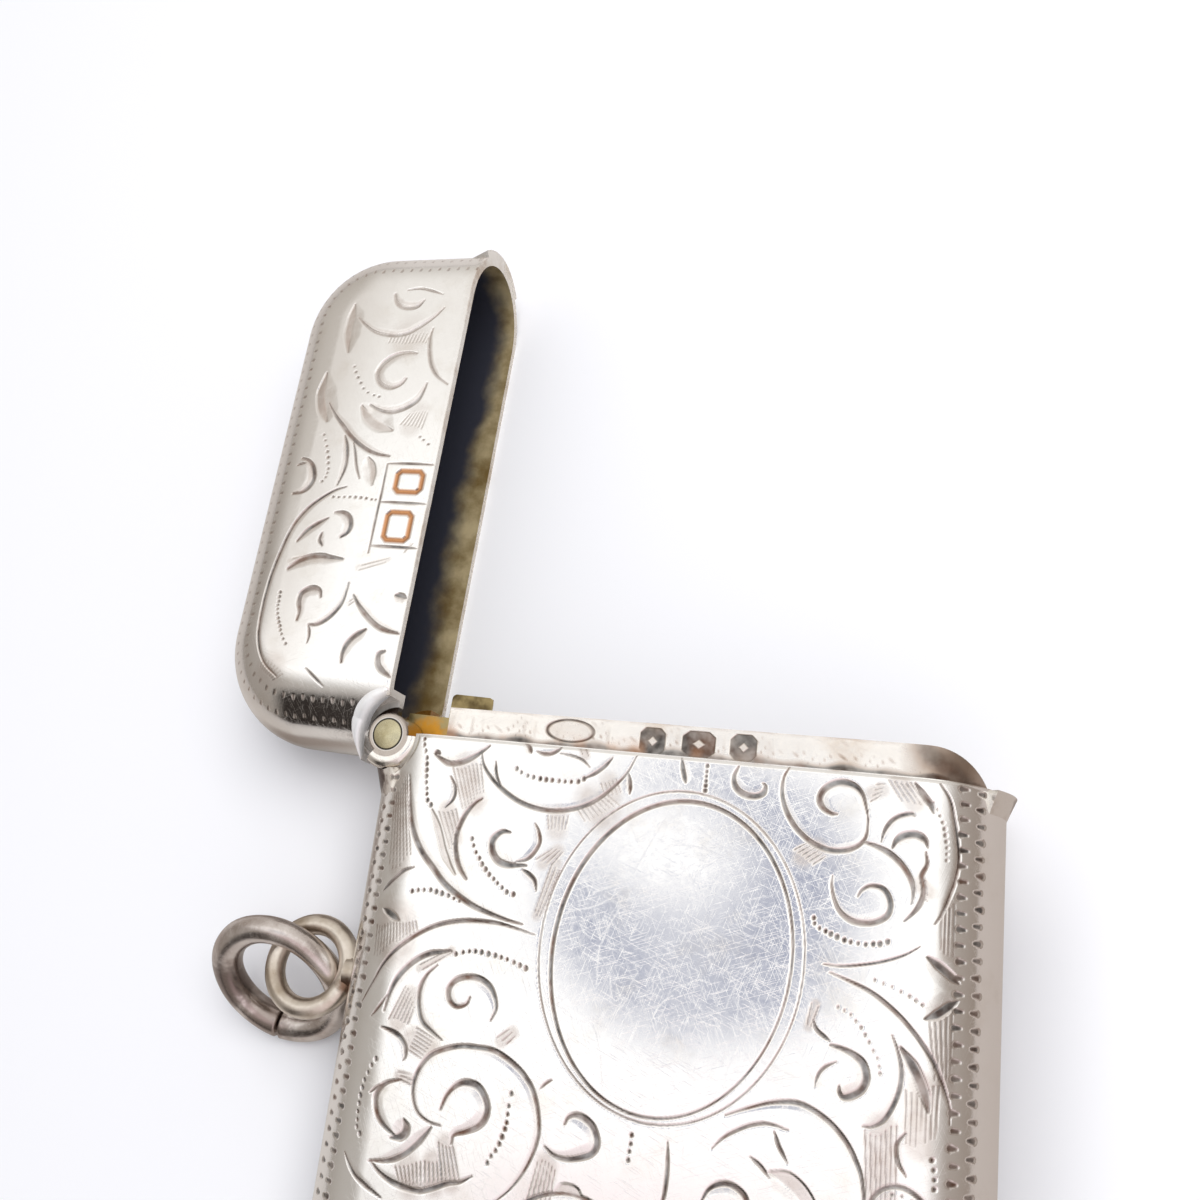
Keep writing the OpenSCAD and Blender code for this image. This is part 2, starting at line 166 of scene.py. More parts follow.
# The same silver where it has no engraving: duller, clouded, with brown dirt and a painted dark reflection
# under the hinge, and greyer by the right end of the mouth
PLAIN = metal("worn_plain_silver", "#e9e5df", "#b39f8c", rough=0.22, clouds=(0.48, 0.78), spots=[
    (-16.1, 14.2, 7.4, 0.9, "#4a2f26"), (-15.0, 14.7, 7.9, 0.6, "#5c3b2e"),
    (-16.8, 14.4, 6.9, 1.5, "#4a2f2a"), (18.0, 16.7, 4.6, 1.1, "#8d8279")])
# Silver of the lid's front shell, half dulled, with painted shade in the scoop round the hinge
SCOOP = metal("worn_lid_silver", "#e9e5df", "#b39f8c", rough=0.24, clouds=(0.48, 0.78), metallic=0.6,
              spots=[(-16.7, 16.9, 6.9, 2.0, "#33251a")], bands=[(1.2, 1.85, "#2a1d14")])
# Silver of the lid's back shell, half dulled, with a gilt stain by the hinge
RIM = metal("gilt_rim_silver", "#eae5dd", "#c4b6a2", rough=0.28, clouds=(0.45, 0.75), scratch=0.1,
            metallic=0.6, spots=[(-16.9, 19.2, 2.0, 2.2, "#9a6d2f")])
# Polished silver of the knuckles, with a dark line and a duller ring round the pin, and brown dirt and a
# painted dark reflection under the lug
KNUCKLE = metal("polished_knuckle_silver", "#ebe6df", "#c4b6a8", rough=0.16, clouds=(0.50, 0.80),
                spots=[(-17.0, 14.5, 6.4, 1.3, "#452c26")],
                bands=[(0.90, 0.97, "#221c18"), (1.0, 1.34, "#b0a69d")])
# Silver of the scoop's lip, rubbed matt and nearly white
LIP = metal("rubbed_lip_silver", "#ffffff", "#ece6df", rough=0.38, clouds=(0.45, 0.75), metallic=0.4)
# Collar silver, warm, with brown dirt along its foot
COLLAR = metal("worn_collar_silver", "#ece7e0", "#dccfc1", rough=0.22, clouds=(0.50, 0.80), engraved=True)
# Darkened silver of the loose ring, browner at its left and low down
RING = metal("darkened_ring_silver", "#dfd8d3", "#a89a92", rough=0.25, clouds=(0.36, 0.72), scratch=0.5,
             spots=[(-27.1, 1.2, 3.3, 2.8, "#8f837d"), (-24.5, -1.0, 1.2, 2.4, "#a0948d")])
# Rubbed silver of the eye and the striker, with a brown cast and painted shade where the eye meets the body
EYE = metal("rubbed_eye_silver", "#e2d9cd", "#ab9c8a", rough=0.30, clouds=(0.38, 0.72), scratch=0.5,
            spots=[(-17.7, 2.2, 5.2, 0.9, "#7d6453")])
# Gilding inside, stained, with painted shade that turns it navy black away from the rim
GILT = metal("stained_gilding_painted_shade", "#e6d3a6", "#8a7142", rough=0.40, clouds=(0.28, 0.72), scratch=0.3,
             metallic=0.45, painted_shade_depth=(0.9, 2.6, "#484a56"))
# Gilding of the cam, dulled to olive, with a golden place by the hinge
OLIVE = metal("dulled_gilding", "#a8966a", "#54462e", rough=0.34, clouds=(0.40, 0.66),
              spots=[(-15.0, 17.2, 5.7, 1.5, "#c98f35")])
# Pale brass of the pin, with a dark line round its end
BRASS = metal("pale_pin_brass", "#cbc3a2", "#9c906d", rough=0.27, clouds=(0.42, 0.75),
              bands=[(0.86, 1.2, "#221c18")])
# Blued spring steel, dark and dull
STEEL = metal("blued_spring_steel", "#6c6e72", "#3e3a3a", rough=0.35, clouds=(0.40, 0.70))


def mesh_piece(name, points, normals, mat, body, keep=None, flip=False, values=None):
    """Mesh of a grid of points (rows, columns, 3) in millimetres, with its own normals and point values."""
    rows, cols = points.shape[:2]
    at = np.arange(rows * cols).reshape(rows, cols)
    quads = np.stack([at[:-1, :-1], at[:-1, 1:], at[1:, 1:], at[1:, :-1]], -1)
    quads = quads[keep] if keep is not None else quads.reshape(-1, 4)
    if flip:
        quads = quads[:, ::-1]
    used, quads = np.unique(quads, return_inverse=True)
    quads = quads.reshape(-1, 4)
    me = bpy.data.meshes.new(name)
    me.vertices.add(len(used))
    me.vertices.foreach_set("co", (points.reshape(-1, 3)[used] * MM).astype(np.float32).ravel())
    me.loops.add(quads.size)
    me.loops.foreach_set("vertex_index", quads.astype(np.int32).ravel())
    me.polygons.add(len(quads))
    me.polygons.foreach_set("loop_start", np.arange(0, quads.size, 4, dtype=np.int32))
    me.polygons.foreach_set("use_smooth", np.ones(len(quads), dtype=bool))
    for key, value in (values or {}).items():
        layer = me.attributes.new(key, "FLOAT", "POINT").data
        layer.foreach_set("value", value.ravel()[used].astype(np.float32))
    me.update(calc_edges=True)
    if normals is not None:
        me.normals_split_custom_set_from_vertices(normals.reshape(-1, 3)[used].tolist())
    me.materials.append(mat)
    ob = bpy.data.objects.new(name, me)
    bpy.context.scene.collection.objects.link(ob)
    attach(ob, body)
    return ob


def grid_normals(points, back=False):
    """Normals of a grid: the cross product of its two directions."""
    n = np.cross(np.gradient(points, axis=1), np.gradient(points, axis=0))
    n /= np.maximum(np.linalg.norm(n, axis=-1, keepdims=True), 1e-12)
    return -n if back else n


def sheet(p, q, low):
    """Unrolled point (p, q) laid on a slab with half-round edges that is closed at y = low. Inside the flat
    it stays where it is. Past the flat's rounded border it follows the edge's quarter circle."""
    inner = CORNER - EDGE
    core_x, core_y = CASE_W / 2 - CORNER, low + CORNER
    cx, cy = np.clip(p, -core_x, core_x), np.maximum(q, core_y)
    dx, dy = p - cx, q - cy
    far = np.hypot(dx, dy)
    ux, uy = dx / np.maximum(far, 1e-9), dy / np.maximum(far, 1e-9)
    angle = np.clip((far - inner) / EDGE, 0, math.pi / 2)
    reach = np.minimum(far, inner) + EDGE * np.sin(angle)
    points = np.stack([cx + ux * reach, cy + uy * reach, EDGE + EDGE * np.cos(angle)], -1)
    normals = np.stack([ux * np.sin(angle), uy * np.sin(angle), np.cos(angle)], -1)
    return points, normals, far - inner


def all_corners(keep):
    """Faces of a grid whose four corners are kept."""
    return keep[:-1, :-1] & keep[:-1, 1:] & keep[1:, 1:] & keep[1:, :-1]


def opened(a):
    """Turns points of the shut lid about the pin to where it stands open."""
    c, s = math.cos(OPEN), math.sin(OPEN)
    x, y = a[..., 0] - PIN[0], a[..., 1] - PIN[1]
    return np.stack([c * x - s * y + PIN[0], s * x + c * y + PIN[1], a[..., 2]], -1)


def curve(points, per=6):
    """Smooth line through points (a Catmull-Rom curve)."""
    a = np.array(points, float)
    a = np.vstack([2 * a[0] - a[1], a, 2 * a[-1] - a[-2]])
    t = np.linspace(0, 1, per, endpoint=False)[:, None]
    out = []
    for p0, p1, p2, p3 in zip(a[:-3], a[1:-2], a[2:-1], a[3:]):
        out.append(0.5 * (2 * p1 + (p2 - p0) * t + (2 * p0 - 5 * p1 + 4 * p2 - p3) * t ** 2
                          + (3 * p1 - p0 - 3 * p2 + p3) * t ** 3))
    return np.vstack(out + [a[-2:-1]])


def carve(field, ps, qs, pts, half, dark, steep=0.75):
    """Cuts a V groove along a line into the field: depth and ink by distance from the line, over its half
    width. The line is worked a few segments at a time, so that only the grid near them is touched."""
    depth, ink = field
    at_once = 8
    for k in range(0, len(pts) - 1, at_once):
        a, h = pts[k:k + at_once + 1], half[k:k + at_once + 1]
        pad = h.max() + 0.02
        i0, i1 = np.searchsorted(ps, [a[:, 0].min() - pad, a[:, 0].max() + pad])
        j0, j1 = np.searchsorted(qs, [a[:, 1].min() - pad, a[:, 1].max() + pad])
        if i1 <= i0 or j1 <= j0:
            continue
        x, y = ps[None, None, i0:i1], qs[None, j0:j1, None]
        ax, ay = a[:-1, 0, None, None], a[:-1, 1, None, None]
        bx, by = a[1:, 0, None, None] - ax, a[1:, 1, None, None] - ay
        t = np.clip(((x - ax) * bx + (y - ay) * by) / (bx * bx + by * by + 1e-12), 0, 1)
        d = np.hypot(x - ax - t * bx, y - ay - t * by)
        w = h[:-1, None, None] * (1 - t) + h[1:, None, None] * t
        f = np.clip(1 - d / w, 0, 1)
        s = np.s_[j0:j1, i0:i1]
        depth[s] = np.maximum(depth[s], np.minimum((steep * w * f).max(0), LIFT - LEFT))
        ink[s] = np.maximum(ink[s], dark * np.clip(1.8 * f, 0, 1).max(0))


def stroke(field, ps, qs, points, width, start=0.25, end=0.2, dark=0.95, shade=0.16):
    """Engraved line that swells in the middle and thins to its ends, with a soft painted shade on its
    hollow side, put into the ink.
    """
    line = curve(points)
    t = np.linspace(0, 1, len(line))
    swell = np.interp(t, [0, 0.3, 0.7, 1], [start, 1, 1, end])
    carve(field, ps, qs, line, 0.62 * width * swell + 0.02, dark)
    # Painted shade beside the line, on its hollow side, carried in the ink
    if width >= 0.16 and shade > 0:
        d = np.gradient(line, axis=0)
        bend = np.sum(d[:-1, 0] * d[1:, 1] - d[:-1, 1] * d[1:, 0])
        hollow = np.stack([-d[:, 1], d[:, 0]], -1) * np.sign(bend)
        hollow /= np.maximum(np.hypot(d[:, 0], d[:, 1]), 1e-9)[:, None]
        beside = line + hollow * (0.6 * width * swell)[:, None]
        carve(field, ps, qs, beside, 1.2 * width * swell + 0.01, shade, 0.06)


def hatch(field, ps, qs, a, b, c, d, count, width=0.12, dark=0.72):
    """Shading lines from the segment a-b to the segment c-d, no closer than a fifth of a millimetre, on a
    ground that keeps some tarnish."""
    closest, ground = 0.20, 0.52
    a, b, c, d = (np.array(v, float) for v in (a, b, c, d))
    along = (c + d - a - b) / 2
    along /= np.linalg.norm(along)
    span = (b - a + d - c) / 2
    wide = abs(span[0] * along[1] - span[1] * along[0])
    count = max(2, min(count, int(wide / closest)))
    carve(field, ps, qs, np.array([(a + b) / 2, (c + d) / 2]), np.full(2, 0.6 * wide), ground * dark, 0.0)
    for k in range(count):
        t = (k + 0.5) / count
        p0, p1 = a + (b - a) * t, c + (d - c) * t
        slip = 0.06 * math.sin(7.1 * k)
        line = np.array([p0 + (p1 - p0) * (0.04 + slip), (p0 + p1) / 2, p1 - (p1 - p0) * (0.04 - slip)])
        carve(field, ps, qs, line, width / 2 * np.array([1.0, 0.95, 0.6]), dark, 0.35)


def dots(field, ps, qs, points, size=0.25, dark=1.0):
    """Row of punched dots, each a short stroke."""
    for k, (x, y) in enumerate(points):
        r = size / 2 * (1 + 0.18 * math.sin(5.3 * k))
        carve(field, ps, qs, np.array([(x, y - 0.02), (x, y + 0.02)]), np.array([r, r]), dark, 0.6)


def border(field, ps, qs, low, high, away, pitch, along, across, inside, dark=0.95, steep=0.6):
    """Punched border: marks along a line that keeps its distance from the flat of a slab closed at q = low.
    The line runs down one side, along the foot and up the other side, and round the corners between them."""
    core_x, core_y = CASE_W / 2 - CORNER, low + CORNER
    r = CORNER - EDGE + away
    side, turn, foot = high - core_y, math.pi / 2 * r, 2 * core_x
    first = 0.35
    for k, v in enumerate(np.arange(first, 2 * side + 2 * turn + foot, pitch)):
        if v < side:
            x, y, u = -core_x - r, high - v, (-1, 0)
        elif v < side + turn:
            g = math.pi + (v - side) / r
            x, y, u = -core_x + r * math.cos(g), core_y + r * math.sin(g), (math.cos(g), math.sin(g))
        elif v < side + turn + foot:
            x, y, u = -core_x + (v - side - turn), core_y - r, (0, -1)
        elif v < side + 2 * turn + foot:
            g = 1.5 * math.pi + (v - side - turn - foot) / r
            x, y, u = core_x + r * math.cos(g), core_y + r * math.sin(g), (math.cos(g), math.sin(g))
        else:
            x, y, u = core_x + r, core_y + (v - side - 2 * turn - foot), (1, 0)
        stray = 0.05 * math.sin(3.7 * k)
        a = np.array([x + u[0] * (stray - across / 2), y + u[1] * (stray - across / 2)])
        b = np.array([x + u[0] * (stray + across / 2), y + u[1] * (stray + across / 2)])
        fat, thin = along / 2 * (1 + 0.15 * math.sin(2.9 * k)), along / 2 * 0.65
        carve(field, ps, qs, np.array([a, b]), np.array([thin, fat] if inside else [fat, thin]), dark, steep)


def scroll(field, ps, qs, x, y, size, turn, flip=1):
    """Leaf scroll: a spiral that opens into a stem, a row of dots along it and shading behind it."""
    def put(points):
        """Points of a scroll of size one, made larger, turned and set in place."""
        a = np.array(points, float) * size
        a[:, 1] *= flip
        c, s = math.cos(turn), math.sin(turn)
        return np.stack([x + c * a[:, 0] - s * a[:, 1], y + s * a[:, 0] + c * a[:, 1]], -1)

    g = np.linspace(0, 3.4 * math.pi / 2, 12)
    r = 0.22 + 0.13 * g
    stroke(field, ps, qs, put(np.stack([r * np.cos(g), r * np.sin(g)], -1)), 0.22, 0.9, 0.6)
    stem = [(0.2, -0.95), (0.9, -0.8), (1.4, -0.2), (1.45, 0.6), (1.0, 1.3), (0.1, 1.6), (-0.9, 1.4),
            (-1.6, 0.7), (-1.9, -0.3)]
    stroke(field, ps, qs, put(stem), 0.17)
    row = [(1.05, 0.75), (0.75, 1.05), (0.35, 1.22), (-0.05, 1.28), (-0.45, 1.2), (-0.8, 1.02)]
    dots(field, ps, qs, put(row), 0.18)
    hatch(field, ps, qs, *put([(-1.2, 0.3), (-1.05, -0.5), (-1.75, 0.0), (-1.55, -0.8)]), 8)


# Strokes of the body's front, read off the photo in millimetres: width, points
FRONT = [
    (0.19, [(-10.1, 16.1), (-9.9, 15.4), (-9.4, 14.75), (-8.6, 14.1), (-7.5, 13.5), (-6.3, 13.2),
            (-5.2, 13.2), (-4, 13.5), (-3, 14.05), (-2.2, 14.8), (-1.55, 15.6), (-1.1, 16.6)]),
    (0.13, [(-9.15, 15.6), (-9.1, 15.2), (-8.95, 14.7), (-8.6, 14.15)]),
    (0.16, [(-3.9, 15.1), (-3.3, 15.45), (-2.8, 15.9), (-2.4, 16.4)]),
    (0.16, [(-6.8, 16.35), (-6.4, 16.25), (-5.95, 16.3), (-5.55, 16.55), (-5.25, 16.95)]),
    (0.2, [(-7.6, 16.8), (-7.35, 16.65), (-7.2, 16.4), (-7.1, 16.25)]),
    (0.09, [(-5.45, 16.37), (-4.7, 16.28), (-4.1, 16.1), (-3.6, 15.72)]),
    (0.26, [(-12.9, 15.65), (-12.5, 15.42), (-12, 15.22), (-11.5, 15.27), (-10.9, 15.5), (-10.2, 15.95),
            (-9.6, 16.45)]),
    (0.22, [(-12.95, 15.7), (-12.8, 15.78), (-12.6, 15.68)]),
    (0.16, [(-11.75, 14.5), (-11.45, 14.05), (-11.33, 13.6), (-11.42, 13.15), (-11.78, 12.72)]),
    (0.24, [(-9.6, 13.45), (-10, 13.15), (-10.45, 12.55), (-10.75, 11.8), (-10.88, 11.1), (-10.75, 10.3),
            (-10.45, 9.6), (-10, 9.05), (-9.85, 8.93)]),
    (0.32, [(-7.7, 11.75), (-8.15, 11.75), (-8.5, 11.5), (-8.7, 11.1), (-8.6, 10.6), (-8.2, 10.15),
            (-7.6, 10), (-7, 10.05), (-6.5, 10.08)]),
    (0.17, [(-7.2, 10.2), (-6.6, 10.4), (-6.2, 10.8), (-5.95, 11.4), (-6.1, 12), (-6.35, 12.4)]),
    (0.17, [(-6.75, 9.86), (-6.3, 9.65), (-5.95, 9.35), (-5.78, 8.82)]),
    (0.26, [(-14.4, 14.35), (-14.2, 13.5), (-14, 12.6), (-13.7, 11.6), (-13.3, 10.8), (-12.7, 10),
            (-12, 9.35), (-11.2, 8.6), (-10.3, 8.05), (-9.3, 7.6), (-8.2, 7.3), (-7.2, 7.1), (-6.3, 7)]),
    (0.15, [(-13.1, 9.22), (-13.7, 8.95), (-14.2, 8.5), (-14.7, 8), (-14.98, 7.7)]),
    (0.36, [(-14.7, 6.75), (-14.3, 6.6), (-13.9, 6.42), (-13.5, 6.25)]),
    (0.18, [(-15.2, 1.7), (-14.6, 2.8), (-14.1, 3.8), (-13.4, 4.7), (-12.5, 5.5), (-11.5, 6.15),
            (-10.5, 6.55), (-9.3, 6.8), (-7.8, 6.88), (-6.8, 6.77), (-5.5, 6.55)]),
    (0.24, [(-13.55, 1.45), (-13.35, 2.5), (-12.95, 3.4), (-12.2, 4.25), (-11.4, 4.75), (-10.6, 4.97),
            (-10.1, 5.1)]),
    (0.12, [(-14.3, 1.05), (-13.9, 1.6), (-13.4, 2.4)]),
    (0.18, [(-10.8, 4.25), (-11.35, 3.65), (-11.63, 2.9), (-11.55, 2), (-11.2, 1.25), (-10.5, 0.8),
            (-9.9, 0.5)]),
    (0.24, [(-8.68, 2.9), (-8.85, 2.5), (-9.4, 2.3), (-9.85, 2.6), (-9.97, 3.1), (-9.6, 3.65), (-8.9, 3.9),
            (-8.2, 3.88), (-7.6, 3.55), (-7.25, 3), (-7.15, 2.5), (-7.35, 1.9)]),
    (0.2, [(-13.55, 0.6), (-13, 0.52), (-12.4, 0.3), (-12, -0.1), (-11.88, -0.55), (-11.95, -0.85)]),
    (0.2, [(-9.3, -3.6), (-10, -3.55), (-10.7, -3.2), (-11.1, -2.5), (-11.15, -1.7), (-10.9, -0.95),
           (-10.4, -0.3), (-9.7, 0.1), (-8.8, 0.4), (-7.8, 0.5), (-6.9, 0.48), (-6, 0.15), (-5.2, -0.35),
           (-4.6, -1), (-4.2, -1.9), (-4, -2.9), (-4.15, -3.9), (-4.6, -5), (-5.3, -6), (-6.2, -6.8)]),
    (0.3, [(-9.45, -2.85), (-9.2, -2.1), (-8.7, -1.5), (-8.15, -1.3), (-7.5, -1.42), (-7, -2), (-6.9, -2.6),
           (-7.2, -3.2), (-7.9, -3.62), (-8.5, -3.9), (-8.58, -4.35)]),
    (0.26, [(-9.8, -3.75), (-10.1, -4.2), (-10.6, -4.85), (-11.2, -5.4), (-12, -5.8), (-13, -6)]),
    (0.22, [(-12.9, -6), (-12.4, -6.4), (-11.7, -6.7), (-10.9, -6.85), (-10, -6.85), (-9.3, -6.6),
            (-8.5, -6.2), (-7.8, -6), (-7.2, -5.6)]),
    (0.24, [(-11.9, -1.8), (-12.6, -2.05), (-13.05, -2.45), (-13.2, -3), (-12.9, -3.8), (-12.3, -4.3),
            (-11.6, -4.6)]),
    (0.4, [(-11.4, -3.7), (-11.2, -4.1), (-11.4, -4.5), (-12, -4.7)]),
    (0.12, [(-13.6, -2.75), (-13.2, -2.4), (-12.9, -2.2)]),
    (0.16, [(-14.6, -5.9), (-14.2, -6.4), (-13.6, -6.9), (-12.8, -7.3), (-12, -7.6)]),
    (0.28, [(-2.7, -2.3), (-2.55, -1.95), (-2.2, -1.77), (-1.7, -1.85), (-1.2, -2.2), (-0.95, -2.8),
            (-1.1, -3.3), (-1.6, -3.6), (-2.4, -3.85), (-3.1, -3.8), (-3.6, -3.5)]),
    (0.1, [(-4.2, -0.9), (-3.9, -0.55), (-3.6, -0.35)]),
    (0.15, [(2.55, -2.1), (2.62, -2.8), (2.66, -3.6), (2.6, -4.6), (2.3, -5.6)]),
    (0.13, [(4.7, -2), (5.2, -1.4), (5.9, -0.9), (6.6, -0.55), (7.3, -0.4), (8.2, -0.52)]),
    (0.18, [(5.2, -0.4), (6.2, 0.1), (7.3, 0.55), (8.4, 0.76), (9.2, 0.6), (10, 0.2), (10.7, -0.4),
            (11.2, -1.1), (11.6, -2), (11.7, -3.2), (11.3, -4.4)]),
    (0.15, [(7.55, -0.7), (7.8, -1.3), (8.25, -1.95)]),
    (0.22, [(4.4, -4.4), (4.7, -3.8), (5.2, -3.45), (5.8, -3.4), (6.4, -3.75), (6.6, -4.4), (6.2, -5)]),
    (0.14, [(6.5, -2), (7, -2.3), (7.5, -2.75)]),
    (0.2, [(7, 16.75), (6.75, 16.2), (6.7, 15.5), (6.85, 14.8), (7.2, 14.1), (7.7, 13.5), (8.4, 13),
           (9.2, 12.75), (9.9, 12.8), (10.5, 13.05), (10.9, 13.5), (11, 14.2), (10.95, 14.9)]),
    (0.27, [(10.95, 14.7), (10.7, 15.6), (10.3, 16.05), (9.7, 16.2), (9.2, 16.07), (8.75, 15.7), (8.6, 15.2),
            (8.8, 14.8), (9.2, 14.57), (9.5, 14.57)]),
    (0.24, [(13.1, 16.5), (13.5, 16), (13.9, 15.5), (14.05, 15.1)]),
    (0.16, [(11.65, 13.4), (11.8, 14), (12.1, 14.5), (12.5, 14.8), (13, 14.95), (13.2, 14.85)]),
    (0.3, [(12.2, 13.2), (12.4, 13.6), (12.8, 13.88), (13.3, 13.95), (13.7, 13.75), (13.85, 13.4)]),
    (0.22, [(10.75, 13.35), (11.4, 13.2), (12.1, 12.9), (12.7, 12.4), (13.1, 11.8), (13.27, 11.2),
            (13.2, 10.6)]),
    (0.2, [(13.75, 13.2), (13.85, 12.6), (13.62, 12), (13.75, 11.3), (13.6, 10.7), (13.3, 10.2),
           (12.9, 9.75)]),
    (0.22, [(10.7, 10.65), (10.9, 11), (11.3, 11.25), (11.8, 11.2), (12.1, 10.9), (12.25, 10.4), (12.1, 9.9),
            (11.6, 9.55), (11, 9.42), (10.4, 9.5), (9.9, 9.85), (9.6, 10.4), (9.45, 11), (9.45, 11.5)]),
    (0.09, [(9.3, 7.25), (10, 7.25), (11, 7.45), (12, 7.75), (13, 8.2), (13.7, 8.7)]),
    (0.16, [(9.6, 6.9), (10.5, 6.65), (11.4, 6.35), (12.2, 5.9), (13, 5.3), (13.8, 4.5), (14.5, 3.6),
            (15, 2.6), (15.3, 1.8), (15.35, 1)]),
    (0.4, [(14.05, 8.25), (14.6, 7.9), (15.2, 7.5), (15.6, 7.25)]),
    (0.4, [(14.05, 5.45), (14.6, 5.75), (15.1, 6.15), (15.55, 6.45)]),
    (0.16, [(14.3, 16.6), (14.8, 15.9), (15.05, 15), (15.25, 14), (15.35, 13), (15.2, 12), (14.9, 11.1),
            (14.6, 10.3), (14.3, 9.8)]),
    (0.14, [(9, 4.6), (9.15, 4.2), (9.5, 3.95), (9.85, 3.75)]),
    (0.3, [(9.85, 3.6), (10.4, 3.52), (11, 3.3), (11.4, 2.95), (11.55, 2.4), (11.4, 1.9), (11, 1.55),
           (10.6, 1.4), (10.4, 1.55), (10.35, 1.85)]),
    (0.11, [(10.2, 2.9), (9.7, 2.6), (9.4, 2.2), (9.25, 1.6)]),
    (0.18, [(12.6, 4.5), (12.9, 3.8), (13.1, 3), (13.05, 2.2), (12.8, 1.4), (12.4, 0.7), (11.9, 0.35),
            (11.5, 0.3)]),
    (0.46, [(13, 4), (13.5, 3.4), (13.9, 2.7), (14.2, 2), (14.35, 1.4)]),
    (0.17, [(13.4, 0.35), (13.05, -0.2), (13.1, -0.9), (13.5, -1.5)]),
    (0.26, [(4.4, 16.55), (4.2, 16), (4.3, 15.5), (4.7, 15.15), (5.3, 15.05), (5.75, 15.25), (5.85, 15.6),
            (5.7, 15.78)]),
    (0.2, [(1.35, 16.7), (1.45, 16.2), (1.6, 15.7), (1.7, 15.4)]),
    (0.18, [(-1.45, 15.6), (-1.3, 15), (-1.25, 14.5)]),
]
# Broad soft strokes of painted shade in the hollows of the leaves
FRONT_PAINTED_SHADE = [
    (0.34, [(-12.6, 12.5), (-12.3, 12), (-11.9, 11.2), (-11.5, 10.3), (-11.1, 9.7), (-10.6, 9.1)]),
    (0.6, [(7.5, -2.5), (8.2, -2.6), (8.9, -3), (9.4, -3.7), (9.5, -4.5)]),
    (0.4, [(-2.9, -5.6), (-2.4, -5.2), (-1.8, -5.2), (-1.3, -5.6)]),
]
# Rows of punched dots
FRONT_DOTS = [
    [(-7.85, 15.28), (-7.55, 15.1), (-7.15, 14.95), (-6.8, 14.9), (-6.4, 14.85), (-6.05, 14.83),
     (-5.7, 14.83), (-5.3, 14.83), (-4.95, 14.83), (-4.6, 14.85), (-4.2, 14.9), (-3.9, 15.08)],
    [(-13.75, 16.5), (-13.7, 16.15), (-13.55, 15.8), (-13.4, 15.4), (-13.35, 15.05), (-13.3, 14.7),
     (-13.25, 14.35), (-13.2, 14), (-13.1, 13.65), (-13.05, 13.35), (-12.95, 13), (-12.7, 12.75)],
    [(-9.9, 11.15), (-9.75, 10.8), (-9.55, 10.45), (-9.3, 10.15), (-9.1, 9.85), (-8.85, 9.6), (-8.6, 9.35),
     (-8.3, 9.15), (-8.05, 8.95), (-7.75, 8.75), (-7.45, 8.55), (-7.05, 8.48)],
    [(-13, 7.9), (-12.65, 8), (-12.3, 8.05), (-11.9, 8.1), (-11.55, 8.05), (-11.2, 8), (-10.8, 7.95),
     (-10.45, 7.85), (-10.1, 7.75)],
    [(-9.85, 4.95), (-9.45, 5.1), (-9.1, 5.2), (-8.75, 5.25), (-8.4, 5.25), (-8, 5.22), (-7.6, 5.2),
     (-7.25, 5.15), (-6.9, 5.1), (-6.5, 5), (-6.15, 4.9), (-5.8, 4.8)],
    [(-5.7, -1.4), (-5.75, -2), (-5.75, -2.4), (-5.75, -2.8), (-5.8, -3.1), (-5.9, -3.5), (-6, -3.85),
     (-6.15, -4.2), (-6.35, -4.5), (-6.5, -4.85)],
    [(-13.55, -1.05), (-13.75, -1.4), (-13.9, -1.8), (-14.05, -2.2), (-14.1, -2.6), (-14.15, -3),
     (-14.15, -3.4), (-14.15, -3.8), (-14.1, -4.2), (-14.05, -4.55), (-13.8, -4.85)],
    [(0.75, -2.15), (0.75, -2.55), (0.72, -2.9), (0.7, -3.3)],
    [(8.7, 9.35), (8.75, 9.1), (9, 8.9), (9.3, 8.8), (9.55, 8.7), (9.85, 8.6), (10.2, 8.5), (10.5, 8.45),
     (10.85, 8.43), (11.2, 8.43), (11.55, 8.5), (11.85, 8.55), (12.2, 8.7)],
    [(2.75, 16.4), (2.75, 16.1), (2.75, 15.85), (2.75, 15.6), (2.75, 15.35), (2.75, 15.1)],
    [(14.6, -0.6), (14.7, -1), (14.75, -1.4), (14.75, -1.8)],
]
FRONT_FINE_DOTS = [
    [(11.7, 6.85), (12.1, 6.75), (12.5, 6.65), (12.9, 6.5), (13.3, 6.35), (13.6, 6.2), (13.9, 6.05)],
    [(10.1, 5.35), (10.4, 5.25), (10.7, 5.1), (10.95, 4.85), (11.2, 4.6), (11.4, 4.3), (11.6, 4),
     (11.8, 3.65), (12, 3.35), (12.1, 3), (12.15, 2.7)],
    [(14, 15.6), (14.2, 15.3), (14.35, 15), (14.5, 14.7), (14.6, 14.4), (14.65, 14.1), (14.7, 13.8),
     (14.75, 13.5), (14.75, 13.2), (14.75, 12.9)],
]
